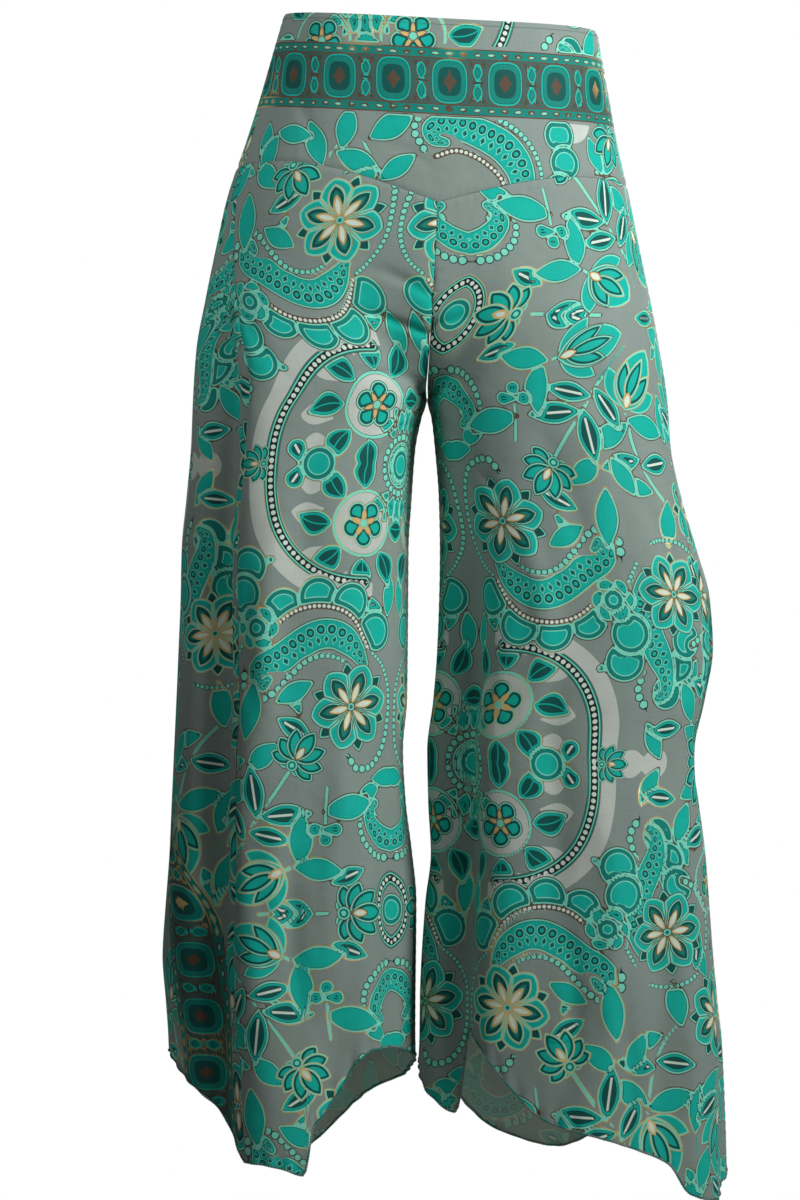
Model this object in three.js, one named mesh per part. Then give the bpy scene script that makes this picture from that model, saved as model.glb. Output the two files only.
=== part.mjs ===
// Wide-leg trousers with a shaped yoke at the waist and pointed handkerchief hems, in the form they take when worn.
// Millimetres, +Z up, the front of the garment faces -Y. The origin is the middle of the waist opening.
import * as THREE from "three";

// Driving dimensions, in millimetres and degrees.
const WALL = 1.5; // modelled thickness of the cloth
const SEAM_GAP = 0.3; // between two panels that are sewn together
const CROTCH_Z = -335; // where the two legs part
const FORK_TOP_Z = -205; // where the hips begin to turn into two legs
const FORK_SEAM_REACH = 32; // degrees round the garment over which the cloth eases from the seam between the legs
const FORK_FULLNESS = 0.075; // share of its depth that the form keeps from losing where it turns into legs
const WAIST_TILT = -0.05; // the waist and the yoke drop by this much for each millimetre to the wearer's left
const WAIST_SIDE_Z = -3; // top edge of the yoke at the sides
const WAIST_DIP = 9; // the waist edge is lower at the middle of the front and back than at the sides
const YOKE_SIDE_Z = -139; // lower edge of the yoke at the sides
const YOKE_POINT = { front: 33, back: 27 }; // how far the yoke reaches lower still at its middle
const YOKE_POINT_SPAN = 150; // half width of that shallow point
const HIP_SQUARENESS = 2.15; // 2 is an ellipse, more is squarer
const LEG_SQUARENESS = 2.5;
const FOLD_LOW_Z = -1000; // height at which a fold has reached its lower angle
const HEM_FLUTE_REACH = 170; // height over which the flutes of the hem die away
const FLUTE_CLEAR = { none: 2, full: 14 }; // degrees from the inseam where the flutes begin and reach their height
const NO_HEM_Z = -1000; // stands for a hem that is too far down to matter
const STEP = { angle: 0.8, z: 1.5 }; // used to find the surface's direction
const CLEAR_OF_OTHER_LEG = { angle: 25, lean: 0.05 }; // beside the seam the cloth's outside always faces the other leg

// Widths of the whole garment and depths of its front and back, from the waist down. Edges run smoothly between rows.
const BODY = [
  { z: 20, left: -131, right: 133, middle: 1, front: -91, back: 93 },
  { z: 0, left: -137, right: 139, middle: 0, front: -94, back: 97 },
  { z: -24, left: -144, right: 144, middle: 0, front: -98, back: 102 },
  { z: -69, left: -157, right: 152, middle: 0, front: -104, back: 112 },
  { z: -113, left: -171, right: 160, middle: -1, front: -108, back: 121 },
  { z: -157, left: -186, right: 170, middle: -1, front: -111, back: 127 },
  { z: -202, left: -196, right: 179, middle: -2, front: -113, back: 129 },
  { z: -246, left: -205, right: 188, middle: -4, front: -113, back: 127 },
  { z: -290, left: -213, right: 196, middle: -6, front: -112, back: 123 },
  { z: -335, left: -216, right: 203, middle: -9, front: -111, back: 118 },
  { z: -379, left: -218, right: 208, middle: -9, front: -110, back: 114 },
  { z: -424, left: -222, right: 218, middle: -9, front: -109, back: 111 },
  { z: -468, left: -226, right: 231, middle: -9, front: -108, back: 109 },
  { z: -512, left: -227, right: 243, middle: -9, front: -107, back: 108 },
  { z: -557, left: -229, right: 246, middle: -9, front: -107, back: 108 },
  { z: -601, left: -231, right: 239, middle: -9, front: -107, back: 108 },
  { z: -645, left: -233, right: 231, middle: -9, front: -107, back: 109 },
  { z: -690, left: -235, right: 235, middle: -9, front: -108, back: 110 },
  { z: -734, left: -237, right: 240, middle: -9, front: -109, back: 111 },
  { z: -778, left: -240, right: 243, middle: -9, front: -110, back: 113 },
  { z: -823, left: -242, right: 246, middle: -9, front: -111, back: 115 },
  { z: -867, left: -238, right: 250, middle: -9, front: -112, back: 117 },
  { z: -912, left: -234, right: 254, middle: -9, front: -113, back: 119 },
  { z: -1045, left: -226, right: 257, middle: -9, front: -115, back: 124 },
];

// The inner edge of each leg below the fork, and how far the side seam lies in front of the widest point, in degrees.
const LEGS = [
  { z: 20, left: -9.15, right: -8.85, leftSeam: 4, rightSeam: 0 },
  { z: -157, left: -9.15, right: -8.85, leftSeam: 21, rightSeam: 2 },
  { z: -246, left: -9.15, right: -8.85, leftSeam: 30, rightSeam: 4 },
  { z: -335, left: -9.15, right: -8.85, leftSeam: 31, rightSeam: 9 },
  { z: -352, left: -14, right: -5, leftSeam: 31, rightSeam: 10 },
  { z: -379, left: -19.5, right: -1.8, leftSeam: 31, rightSeam: 12 },
  { z: -424, left: -23, right: 1.8, leftSeam: 31, rightSeam: 14 },
  { z: -468, left: -25.7, right: 2.7, leftSeam: 31, rightSeam: 16 },
  { z: -557, left: -26.2, right: 0.5, leftSeam: 32, rightSeam: 17 },
  { z: -601, left: -26.6, right: -2.7, leftSeam: 33, rightSeam: 15 },
  { z: -645, left: -30, right: -8, leftSeam: 33, rightSeam: 10 },
  { z: -690, left: -27.7, right: -7.3, leftSeam: 33, rightSeam: 6 },
  { z: -735, left: -22.4, right: -5, leftSeam: 33, rightSeam: 4 },
  { z: -779, left: -18.5, right: -9.9, leftSeam: 33, rightSeam: 2 },
  { z: -868, left: -19.5, right: -15.5, leftSeam: 33, rightSeam: 0 },
  { z: -1045, left: -20.5, right: -16.5, leftSeam: 33, rightSeam: 0 },
];

// Height of the hem along each panel, from the inseam (0) to the side seam (1).
const HEMS = {
  leftFront: [
    { along: 0.0, z: -917 },
    { along: 0.17, z: -909 },
    { along: 0.3, z: -901 },
    { along: 0.44, z: -900 },
    { along: 0.52, z: -911 },
    { along: 0.58, z: -932 },
    { along: 0.66, z: -954 },
    { along: 0.7, z: -964 },
    { along: 0.75, z: -1005 },
    { along: 0.82, z: -1000 },
    { along: 0.91, z: -996 },
    { along: 1.0, z: -995 },
  ],
  leftBack: [
    { along: 0.0, z: -917 },
    { along: 0.12, z: -940 },
    { along: 0.24, z: -969 },
    { along: 0.36, z: -1017 },
    { along: 0.44, z: -1029 },
    { along: 0.5, z: -1001 },
    { along: 0.57, z: -959 },
    { along: 0.66, z: -927 },
    { along: 0.78, z: -909 },
    { along: 0.86, z: -927 },
    { along: 0.93, z: -949 },
    { along: 1.0, z: -995 },
  ],
  rightFront: [
    { along: 0.0, z: -918 },
    { along: 0.1, z: -930 },
    { along: 0.16, z: -947 },
    { along: 0.205, z: -958 },
    { along: 0.25, z: -884 },
    { along: 0.3, z: -901 },
    { along: 0.36, z: -930 },
    { along: 0.43, z: -958 },
    { along: 0.57, z: -977 },
    { along: 0.64, z: -988 },
    { along: 0.69, z: -998 },
    { along: 0.74, z: -1026 },
    { along: 0.84, z: -1035 },
    { along: 0.93, z: -1028 },
    { along: 1.0, z: -1020 },
  ],
  rightBack: [
    { along: 0.0, z: -918 },
    { along: 0.12, z: -934 },
    { along: 0.24, z: -962 },
    { along: 0.36, z: -1000 },
    { along: 0.48, z: -1014 },
    { along: 0.6, z: -996 },
    { along: 0.72, z: -990 },
    { along: 0.84, z: -1000 },
    { along: 1.0, z: -1020 },
  ],
};

// The largest folds: a trough (depth above 0) or a ridge (below 0) that runs down a leg.
// Angles go round from the middle of the front (0) past the side (90) to the middle of the back (180).
const FOLDS = [
  { leg: "left", top: -170, full: -470, angleTop: 66, angleLow: 63, width: 5.5, depth: 17 },
  { leg: "left", top: -330, full: -620, angleTop: 52, angleLow: 51, width: 5, depth: -5 },
  { leg: "left", top: -480, full: -800, angleTop: 22, angleLow: 19, width: 5, depth: 9 },
  { leg: "left", top: -420, full: -800, angleTop: 38, angleLow: 35, width: 6, depth: 4 },
  { leg: "left", top: -300, full: -620, angleTop: 103, angleLow: 100, width: 7, depth: 9 },
  { leg: "left", top: -330, full: -700, angleTop: 128, angleLow: 126, width: 7, depth: 12 },
  { leg: "left", top: -420, full: -800, angleTop: 154, angleLow: 156, width: 6, depth: 9 },
  { leg: "right", top: -350, full: -620, angleTop: 20, angleLow: 21, width: 5, depth: 20 },
  { leg: "right", top: -380, full: -620, angleTop: 10, angleLow: 11, width: 4, depth: -5 },
  { leg: "right", top: -560, full: -860, angleTop: 66, angleLow: 62, width: 6, depth: 9 },
  { leg: "right", top: -520, full: -860, angleTop: 42, angleLow: 40, width: 6, depth: 4 },
  { leg: "right", top: -320, full: -520, angleTop: 84, angleLow: 84, width: 5, depth: 8 },
  { leg: "right", top: -330, full: -640, angleTop: 112, angleLow: 108, width: 7, depth: 11 },
  { leg: "right", top: -360, full: -720, angleTop: 136, angleLow: 134, width: 7, depth: 10 },
  { leg: "right", top: -430, full: -800, angleTop: 157, angleLow: 158, width: 6, depth: 9 },
];

// Flutes of the loose hem, as waves round half a leg, with their height in millimetres.
const FLUTES = { left: { count: 9, height: 2.6, start: 0.6 }, right: { count: 8, height: 2.8, start: 2.1 } };

const SIDES = { left: -1, right: 1 };

// Number of strips that each panel is cut into, round the garment and down it.
const GRID = { panelAcross: 28, aboveFork: 8, belowFork: 13, yokeAcross: 24, yokeDown: 4 };

const radians = THREE.MathUtils.degToRad;
const smooth = (v, low, high) => THREE.MathUtils.smoothstep(v, low, high);
const mix = THREE.MathUtils.lerp;

// Slope of a column at one row: the mean of the slopes on either side, and level at a peak or beside a level stretch.
function slopeAt(table, key, name, i) {
  const secant = (j) => (table[j + 1][name] - table[j][name]) / (table[j + 1][key] - table[j][key]);
  const before = secant(Math.max(i - 1, 0));
  const after = secant(Math.min(i, table.length - 2));
  return before * after > 0 ? (2 * before * after) / (before + after) : 0;
}

// Value of a column at a key, on a smooth curve through the table's rows that never overshoots them.
function column(table, key, name, at) {
  const falling = table[1][key] < table[0][key];
  const beyond = (row) => (falling ? row[key] <= at : row[key] >= at);
  const found = table.findIndex((row, i) => i > 0 && beyond(row));
  const i = found < 0 ? table.length - 1 : found;
  const a = table[i - 1];
  const b = table[i];
  const span = b[key] - a[key];
  const t = THREE.MathUtils.clamp((at - a[key]) / span, 0, 1);
  const leave = slopeAt(table, key, name, i - 1) * span;
  const arrive = slopeAt(table, key, name, i) * span;
  const t2 = t * t;
  const t3 = t2 * t;
  return (
    a[name] * (2 * t3 - 3 * t2 + 1) + leave * (t3 - 2 * t2 + t) + b[name] * (3 * t2 - 2 * t3) + arrive * (t3 - t2)
  );
}

const body = (z, name) => column(BODY, "z", name, z);
const leg = (z, name) => column(LEGS, "z", name, z);

// Radius factor that turns a circle into a squarer round.
function squareness(cos, sin, power) {
  return (Math.abs(cos) ** power + Math.abs(sin) ** power) ** (-1 / power);
}

// A point of the level ring round the hips, on one half of it.
function hipPoint(side, angle, z) {
  const cos = Math.cos(radians(angle));
  const sin = Math.sin(radians(angle));
  const middle = body(z, "middle");
  const halfWidth = Math.abs(body(z, side) - middle);
  const depth = cos > 0 ? -body(z, "front") : body(z, "back");
  const out = squareness(cos, sin, HIP_SQUARENESS);
  return [middle + SIDES[side] * (halfWidth * sin * out + SEAM_GAP / 2), -depth * cos * out];
}

// A point of the level ring round one leg. It goes right round while the angle goes from 0 to 180.
function legPoint(side, angle, z) {
  const cos = Math.cos(radians(2 * angle));
  const sin = Math.sin(radians(2 * angle));
  const outer = body(z, side);
  const inner = leg(z, side);
  const halfWidth = Math.abs(outer - inner) / 2;
  const depth = sin > 0 ? -body(z, "front") : body(z, "back");
  const out = squareness(cos, sin, LEG_SQUARENESS);
  return [(outer + inner) / 2 - SIDES[side] * halfWidth * cos * out, -depth * sin * out];
}

// How far the hips have turned into a leg, from 0 to 1. The seam between the legs runs down and under as a quarter round.
function forkShare(angle, z) {
  const down = THREE.MathUtils.clamp((FORK_TOP_Z - z) / (FORK_TOP_Z - CROTCH_Z), 0, 1);
  const atSeam = 1 - Math.sqrt(1 - down * down);
  const fromSeam = Math.min(angle, 180 - angle);
  return mix(atSeam, smooth(down, 0, 1), smooth(fromSeam, 0, FORK_SEAM_REACH));
}

// The plain level ring, with neither folds nor flutes.
function plainPoint(side, angle, z) {
  const share = forkShare(angle, z);
  const [hipX, hipY] = hipPoint(side, angle, z);
  const [legX, legY] = legPoint(side, angle, z);
  const fuller = 1 + FORK_FULLNESS * 4 * share * (1 - share);
  return [mix(hipX, legX, share), mix(hipY, legY, share) * fuller];
}

// How far the cloth stands out from the plain ring.
function relief(side, angle, z, hemZ) {
  let out = 0;
  for (const fold of FOLDS) {
    if (fold.leg !== side) continue;
    const grown = smooth(-z, -fold.top, -fold.full);
    const centre = mix(fold.angleTop, fold.angleLow, smooth(-z, -fold.top, -FOLD_LOW_Z));
    out -= fold.depth * grown * Math.exp(-(((angle - centre) / fold.width) ** 2));
  }
  const flute = FLUTES[side];
  const nearHem = 1 - smooth(z, hemZ, hemZ + HEM_FLUTE_REACH);
  const fromSeam = smooth(Math.min(angle, 180 - angle), FLUTE_CLEAR.none, FLUTE_CLEAR.full);
  out += flute.height * nearHem * fromSeam * Math.sin(radians(2 * angle * flute.count) + flute.start);
  return out;
}

// A point of the garment's outer surface.
function surface(side, angle, z, hemZ) {
  const [x, y] = plainPoint(side, angle, z);
  const out = relief(side, angle, z, hemZ);
  const [ax, ay] = plainPoint(side, angle - STEP.angle, z);
  const [bx, by] = plainPoint(side, angle + STEP.angle, z);
  const length = Math.hypot(bx - ax, by - ay) || 1;
  const turn = -SIDES[side];
  return new THREE.Vector3(
    x - (turn * (by - ay) * out) / length,
    y + (turn * (bx - ax) * out) / length,
    z,
  );
}

// The outward direction of that surface.
function outward(side, angle, z, hemZ) {
  const round = surface(side, angle + STEP.angle, z, hemZ).sub(surface(side, angle - STEP.angle, z, hemZ));
  const up = surface(side, angle, z + STEP.z, hemZ).sub(surface(side, angle, z - STEP.z, hemZ));
  const out = round.cross(up).multiplyScalar(SIDES[side]).normalize();
  const { angle: reach, lean } = CLEAR_OF_OTHER_LEG;
  const beside = Math.min(angle, 180 - angle) < reach && z < FORK_TOP_Z;
  if (beside && out.x * SIDES[side] > -lean) out.x = -lean * SIDES[side];
  return out.normalize();
}

// Heights of the sewn and finished edges. A place round the waist is given by its side and its angle.
function tiltAt(side, angle) {
  const [x] = hipPoint(side, angle, YOKE_SIDE_Z);
  return { x, drop: WAIST_TILT * x };
}

function waistZ(side, angle) {
  const { drop } = tiltAt(side, angle);
  return WAIST_SIDE_Z + drop - WAIST_DIP * Math.cos(radians(angle)) ** 2;
}

function yokeZ(side, angle) {
  const { x, drop } = tiltAt(side, angle);
  const point = angle < 90 ? YOKE_POINT.front : YOKE_POINT.back;
  const near = 1 - smooth(Math.abs(x), -YOKE_POINT_SPAN, YOKE_POINT_SPAN);
  return YOKE_SIDE_Z + drop - 2 * point * near;
}

// Angle of the side seam at a height.
const seamAngle = (side, z) => 90 - leg(z, side + "Seam");

// Angle at a share of the way from the middle or inseam (0) to the side seam (1) of a front or back panel.
// The panel stops half a seam gap short of the side seam.
function panelAngle(side, face, along, z) {
  const seam = seamAngle(side, z);
  const [ax, ay] = plainPoint(side, seam - 1, z);
  const [bx, by] = plainPoint(side, seam + 1, z);
  const gap = SEAM_GAP / Math.hypot(bx - ax, by - ay);
  const inset = z < CROTCH_Z ? gap : 0;
  return face === "front" ? mix(inset, seam - gap, along) : mix(180 - inset, seam + gap, along);
}

// A closed wall of the given thickness behind a grid of outer points, with rims along its four edges.
// flip is set where the grid runs the other way round, so that faces always point out.
function wall(points, normals, flip) {
  const rows = points.length;
  const columns = points[0].length;
  const positions = [];
  const outer = points.flat();
  const inner = outer.map((p, i) => p.clone().addScaledVector(normals.flat()[i], -WALL));
  for (const p of [...outer, ...inner]) positions.push(p.x, p.y, p.z);
  const index = [];
  const at = (r, c) => r * columns + c;
  const back = (i) => i + rows * columns;
  const face = (a, b, c, d) => {
    if (flip) index.push(a, c, b, a, d, c);
    else index.push(a, b, c, a, c, d);
  };
  for (let r = 0; r < rows - 1; r++) {
    for (let c = 0; c < columns - 1; c++) {
      const [p, q, s, t] = [at(r, c), at(r + 1, c), at(r + 1, c + 1), at(r, c + 1)];
      face(p, q, s, t);
      face(back(p), back(t), back(s), back(q));
    }
  }
  const rim = [];
  for (let c = 0; c < columns - 1; c++) rim.push(at(0, c));
  for (let r = 0; r < rows - 1; r++) rim.push(at(r, columns - 1));
  for (let c = columns - 1; c > 0; c--) rim.push(at(rows - 1, c));
  for (let r = rows - 1; r > 0; r--) rim.push(at(r, 0));
  rim.forEach((a, i) => {
    const b = rim[(i + 1) % rim.length];
    face(a, b, back(b), back(a));
  });
  const geometry = new THREE.BufferGeometry();
  geometry.setAttribute("position", new THREE.Float32BufferAttribute(positions, 3));
  geometry.setIndex(index);
  geometry.computeVertexNormals();
  return geometry;
}

// One front or back leg panel, from the yoke seam to the hem.
function legPanel(side, face) {
  const hemName = side + (face === "front" ? "Front" : "Back");
  const points = [];
  const normals = [];
  for (let r = 0; r <= GRID.aboveFork + GRID.belowFork; r++) {
    const rowPoints = [];
    const rowNormals = [];
    for (let c = 0; c <= GRID.panelAcross; c++) {
      const along = c / GRID.panelAcross;
      const hemZ = column(HEMS[hemName], "along", "z", along);
      const top = yokeZ(side, panelAngle(side, face, along, YOKE_SIDE_Z)) - SEAM_GAP / 2;
      const upper = Math.sin(radians((90 * r) / GRID.aboveFork));
      const lower = (r - GRID.aboveFork) / GRID.belowFork;
      const z = r < GRID.aboveFork ? mix(top, CROTCH_Z, upper) : mix(CROTCH_Z, hemZ, lower);
      const angle = panelAngle(side, face, along, z);
      rowPoints.push(surface(side, angle, z, hemZ));
      rowNormals.push(outward(side, angle, z, hemZ));
    }
    points.push(rowPoints);
    normals.push(rowNormals);
  }
  const runsBack = face === "front" ? side === "left" : side === "right";
  return wall(points, normals, runsBack);
}

// The front or back yoke, from one side seam over the middle to the other.
function yoke(face) {
  const stations = [];
  for (let c = -GRID.yokeAcross; c <= GRID.yokeAcross; c++) {
    stations.push({ side: c < 0 ? "left" : "right", along: Math.abs(c) / GRID.yokeAcross });
  }
  const points = [];
  const normals = [];
  for (let r = 0; r <= GRID.yokeDown; r++) {
    const place = ({ side, along }) => {
      const edge = panelAngle(side, face, along, YOKE_SIDE_Z);
      const low = yokeZ(side, edge) + SEAM_GAP / 2;
      const z = mix(waistZ(side, edge), low, r / GRID.yokeDown);
      return { side, angle: panelAngle(side, face, along, z), z };
    };
    const row = stations.map(place);
    points.push(
      row.map(({ side, angle, z }, i) => {
        const p = surface(side, angle, z, NO_HEM_Z);
        if (stations[i].along === 0) p.x = body(z, "middle");
        return p;
      }),
    );
    normals.push(row.map(({ side, angle, z }) => outward(side, angle, z, NO_HEM_Z)));
  }
  return wall(points, normals, face === "back");
}

const cloth = new THREE.MeshStandardMaterial({ color: 0x5f8f86, roughness: 0.7, metalness: 0 });
const garment = new THREE.Group();

function add(name, geometry) {
  const mesh = new THREE.Mesh(geometry, cloth.clone());
  mesh.name = name;
  garment.add(mesh);
}

add("yoke_front", yoke("front"));
add("yoke_back", yoke("back"));
for (const side of Object.keys(SIDES)) {
  for (const face of ["front", "back"]) add(`leg_${side}_${face}`, legPanel(side, face));
}

export default garment;
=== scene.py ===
# %% [markdown]
# # Wide-leg trousers in printed viscose
# The part is a pair of loose summer trousers: a shaped yoke that sits on the hips, and two wide legs with
# pointed hems. This lesson dresses the CAD model of them. The CAD panels are 1.5 mm walls of a few hundred
# faces, right in size and in their largest folds. Here each panel becomes a thin sheet with thousands of
# faces, on the same form, with small creases, sewn seams, a rolled hem and a printed pattern. Lengths are
# worked out in millimetres and turned into metres when a mesh is made.

# %% Load the frame
import math
import re
import bmesh
import bpy
import numpy as np
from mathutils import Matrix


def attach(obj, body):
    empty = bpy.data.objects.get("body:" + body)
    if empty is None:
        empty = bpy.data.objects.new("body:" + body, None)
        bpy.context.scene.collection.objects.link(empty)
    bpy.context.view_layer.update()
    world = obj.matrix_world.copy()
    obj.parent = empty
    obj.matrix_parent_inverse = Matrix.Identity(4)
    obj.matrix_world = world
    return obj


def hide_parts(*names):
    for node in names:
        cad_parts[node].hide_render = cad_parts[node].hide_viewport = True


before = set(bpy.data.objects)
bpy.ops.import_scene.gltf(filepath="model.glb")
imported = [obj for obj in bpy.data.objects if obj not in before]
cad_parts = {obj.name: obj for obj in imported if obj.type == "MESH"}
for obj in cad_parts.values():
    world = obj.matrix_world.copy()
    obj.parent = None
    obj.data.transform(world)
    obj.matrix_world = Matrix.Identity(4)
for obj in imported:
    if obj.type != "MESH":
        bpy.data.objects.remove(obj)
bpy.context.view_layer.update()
MM = 0.001
print("nodes:", sorted(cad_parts))

# %% [markdown]
# ## Camera
# The garment is seen straight from the front at hip-to-knee height, from about three metres, with a long
# lens. Then level rings of cloth look nearly straight. The picture is taller than wide, so the 36 mm sensor
# is its height.

# %% Camera
CAMERA_AT = (-0.033, -3.2, -0.513)
LENS = 108.23
SENSOR = 36

camera = bpy.data.objects.new("camera", bpy.data.cameras.new("camera"))
camera.data.lens = LENS
camera.data.sensor_width = SENSOR
camera.location = CAMERA_AT
camera.rotation_euler = (math.pi / 2, 0, 0)
bpy.context.collection.objects.link(camera)
bpy.context.scene.camera = camera
print("camera at", CAMERA_AT, "with a lens of", LENS, "mm")

# %% [markdown]
# ## The garment's form
# A worn garment is a stack of level rings. Round the hips there is one ring, and below the crotch there is
# one for each leg. The charts below hold the width and depth of those rings at a few heights, as a tailor
# would measure them, and a smooth curve runs through each column. This is the same form as the CAD panels
# have. It is written as arrays, so that one call gives every point of a panel at once.
#
# A place on the cloth is a side, an angle and a height. The angle is 0 in the middle of the front, 90 at the
# side and 180 in the middle of the back. Below the crotch 0 and 180 are the inseam.

# %% Charts of the form
WALL = 0.8  # thickness of the cloth that is seen
SEAM_GAP = 0.3
CROTCH_Z = -335  # where the two legs part
FORK_TOP_Z = -205  # where the hips begin to turn into two legs
FORK_SEAM_REACH = 32  # degrees over which the cloth eases from the seam between the legs
FORK_FULLNESS = 0.075  # share of its depth that the form keeps where it turns into legs
WAIST_TILT = -0.05  # drop for each millimetre to the wearer's left
WAIST_SIDE_Z = -3
WAIST_DIP = 9
YOKE_SIDE_Z = -139
YOKE_POINT = {"front": 33, "back": 27}  # how far the yoke reaches lower at its middle
YOKE_POINT_SPAN = 150
HIP_SQUARENESS = 2.15  # 2 is an ellipse, more is squarer
LEG_SQUARENESS = 2.5
FOLD_LOW_Z = -1000
HEM_FLUTE_REACH = 170
FLUTE_CLEAR = (2, 14)  # degrees from the inseam where the flutes begin and reach their height
NO_HEM_Z = -1000
STEP = 0.8  # degrees, used to find the direction of a ring
SIDE_SIGN = {"left": -1, "right": 1}
BESIDE_OTHER_LEG = 25  # degrees from the inseam where the outside always faces the other leg
LEAN = 0.05


def numbers(text):
    """Rows of numbers. A row ends at a semicolon or at the end of its line."""
    return np.array([row.split() for row in re.split("[;\\n]+", text.strip())], float)


def chart(names, text):
    """Columns of numbers by name."""
    return dict(zip(names.split(), numbers(text).T))


def steps(along, heights):
    """A chart of places along a panel and the height at each."""
    return {"along": numbers(along)[0], "z": numbers(heights)[0]}


BODY = chart("z left right middle front back", """
20 -131 133 1 -91 93
0 -137 139 0 -94 97
-24 -144 144 0 -98 102
-69 -157 152 0 -104 112
-113 -171 160 -1 -108 121
-157 -186 170 -1 -111 127
-202 -196 179 -2 -113 129
-246 -205 188 -4 -113 127
-290 -213 196 -6 -112 123
-335 -216 203 -9 -111 118
-379 -218 208 -9 -110 114
-424 -222 218 -9 -109 111
-468 -226 231 -9 -108 109
-512 -227 243 -9 -107 108
-557 -229 246 -9 -107 108
-601 -231 239 -9 -107 108
-645 -233 231 -9 -107 109
-690 -235 235 -9 -108 110
-734 -237 240 -9 -109 111
-778 -240 243 -9 -110 113
-823 -242 246 -9 -111 115
-867 -238 250 -9 -112 117
-912 -234 254 -9 -113 119
-1045 -226 257 -9 -115 124
""")

# Inner edge of each leg, and how far its side seam lies in front of the widest point, in degrees.
LEGS = chart("z left right left_seam right_seam", """
20 -9.15 -8.85 4 0
-157 -9.15 -8.85 21 2
-246 -9.15 -8.85 30 4
-335 -9.15 -8.85 31 9
-352 -14 -5 31 10
-379 -19.5 -1.8 31 12
-424 -23 1.8 31 14
-468 -25.7 2.7 31 16
-557 -26.2 0.5 32 17
-601 -26.6 -2.7 33 15
-645 -30 -8 33 10
-690 -27.7 -7.3 33 6
-735 -22.4 -5 33 4
-779 -18.5 -9.9 33 2
-868 -19.5 -15.5 33 0
-1045 -20.5 -16.5 33 0
""")
print("heights in the body chart:", len(BODY["z"]))

# %% [markdown]
# The hem isn't level: it hangs in points, lowest near the side seams, so each panel has a chart of its own
# for it. The largest folds run down the legs, from the height where they begin to the one where they are
# full. The loose hem also has flutes, as any cut edge has that is wider than the leg above it.

# %% Hems and folds
# Height of the hem along each panel, from the inseam (0) to the side seam (1).
HEMS = {
    ("left", "front"): steps(
        "0 0.17 0.3 0.44 0.52 0.58 0.66 0.7 0.75 0.82 0.91 1",
        "-917 -909 -901 -900 -911 -932 -954 -964 -1005 -1000 -996 -995",
    ),
    ("left", "back"): steps(
        "0 0.12 0.24 0.36 0.44 0.5 0.57 0.66 0.78 0.86 0.93 1",
        "-917 -940 -969 -1017 -1029 -1001 -959 -927 -909 -927 -949 -995",
    ),
    ("right", "front"): steps(
        "0 0.1 0.16 0.205 0.25 0.3 0.36 0.43 0.57 0.64 0.69 0.74 0.84 0.93 1",
        "-918 -930 -947 -958 -884 -901 -930 -958 -977 -988 -998 -1026 -1035 -1028 -1020",
    ),
    ("right", "back"): steps(
        "0 0.12 0.24 0.36 0.48 0.6 0.72 0.84 1",
        "-918 -934 -962 -1000 -1014 -996 -990 -1000 -1020",
    ),
}

# The largest folds. Depth above 0 is a trough, below 0 a ridge. Width is in degrees.
FOLDS = {
    "left": chart("top full angle_top angle_low width depth", """
-170 -470 66 63 5.5 17; -330 -620 52 51 5 -5; -480 -800 22 19 5 9; -420 -800 38 35 6 4;
-300 -620 103 100 7 9; -330 -700 128 126 7 12; -420 -800 154 156 6 9
"""),
    "right": chart("top full angle_top angle_low width depth", """
-350 -620 20 21 5 20; -380 -620 10 11 4 -5; -560 -860 66 62 6 9; -520 -860 42 40 6 4;
-320 -520 84 84 5 8; -330 -640 112 108 7 11; -360 -720 136 134 7 10; -430 -800 157 158 6 9
"""),
}

# Flutes of the loose hem: how many waves go round half a leg, their height, and where they start.
FLUTES = {"left": (9, 2.6, 0.6), "right": (8, 2.8, 2.1)}
print("large folds:", {side: len(folds["top"]) for side, folds in FOLDS.items()})

# %% [markdown]
# A straight line between two rows of a chart would show as a kink in the cloth. The curve below passes
# through every row, and it is level at a peak, so it never overshoots. With a plain spline two panels could
# swell into each other.

# %% Reading a chart


def smooth(value, low, high):
    """0 below low, 1 above high, and an S curve between."""
    share = np.clip((value - low) / (high - low), 0, 1)
    return share * share * (3 - 2 * share)


def hump(off, width):
    """1 on a line, and less beside it."""
    return np.exp(-((off / width) ** 2))


def mix(a, b, share):
    return a + (b - a) * share


def column(rows, key, name, at):
    """Value of a column at a key, on a smooth curve that never overshoots the rows."""
    keys, values = rows[key], rows[name]
    if keys[0] > keys[-1]:
        keys, values = keys[::-1], values[::-1]
    rise = np.diff(values) / np.diff(keys)
    before = np.concatenate([rise[:1], rise])
    after = np.concatenate([rise, rise[-1:]])
    same_way = before * after > 0
    slope = np.where(same_way, 2 * before * after / np.where(same_way, before + after, 1), 0)
    i = np.clip(np.searchsorted(keys, at) - 1, 0, len(keys) - 2)
    span = keys[i + 1] - keys[i]
    t = np.clip((at - keys[i]) / span, 0, 1)
    leaving = slope[i] * span * (t**3 - 2 * t**2 + t)
    arriving = slope[i + 1] * span * (t**3 - t**2)
    return values[i] * (2 * t**3 - 3 * t**2 + 1) + leaving + values[i + 1] * (3 * t**2 - 2 * t**3) + arriving


print("half width at the knees:", round(float(column(BODY, "z", "right", -600.0)), 1), "mm")

# %% [markdown]
# ## A point of the cloth
# The ring round the hips and the ring round one leg are both squarish ovals. Between the top of the fork and
# the crotch one turns into the other, first at the sides and last at the seam between the legs. The main
# folds and the flutes of the hem push each point in or out along the ring's own direction.

# %% Points of the surface


def turns(angle):
    return np.cos(np.radians(angle)), np.sin(np.radians(angle))


def squareness(cos, sin, power):
    """Radius factor that turns a circle into a squarer round."""
    return (np.abs(cos) ** power + np.abs(sin) ** power) ** (-1 / power)


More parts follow.
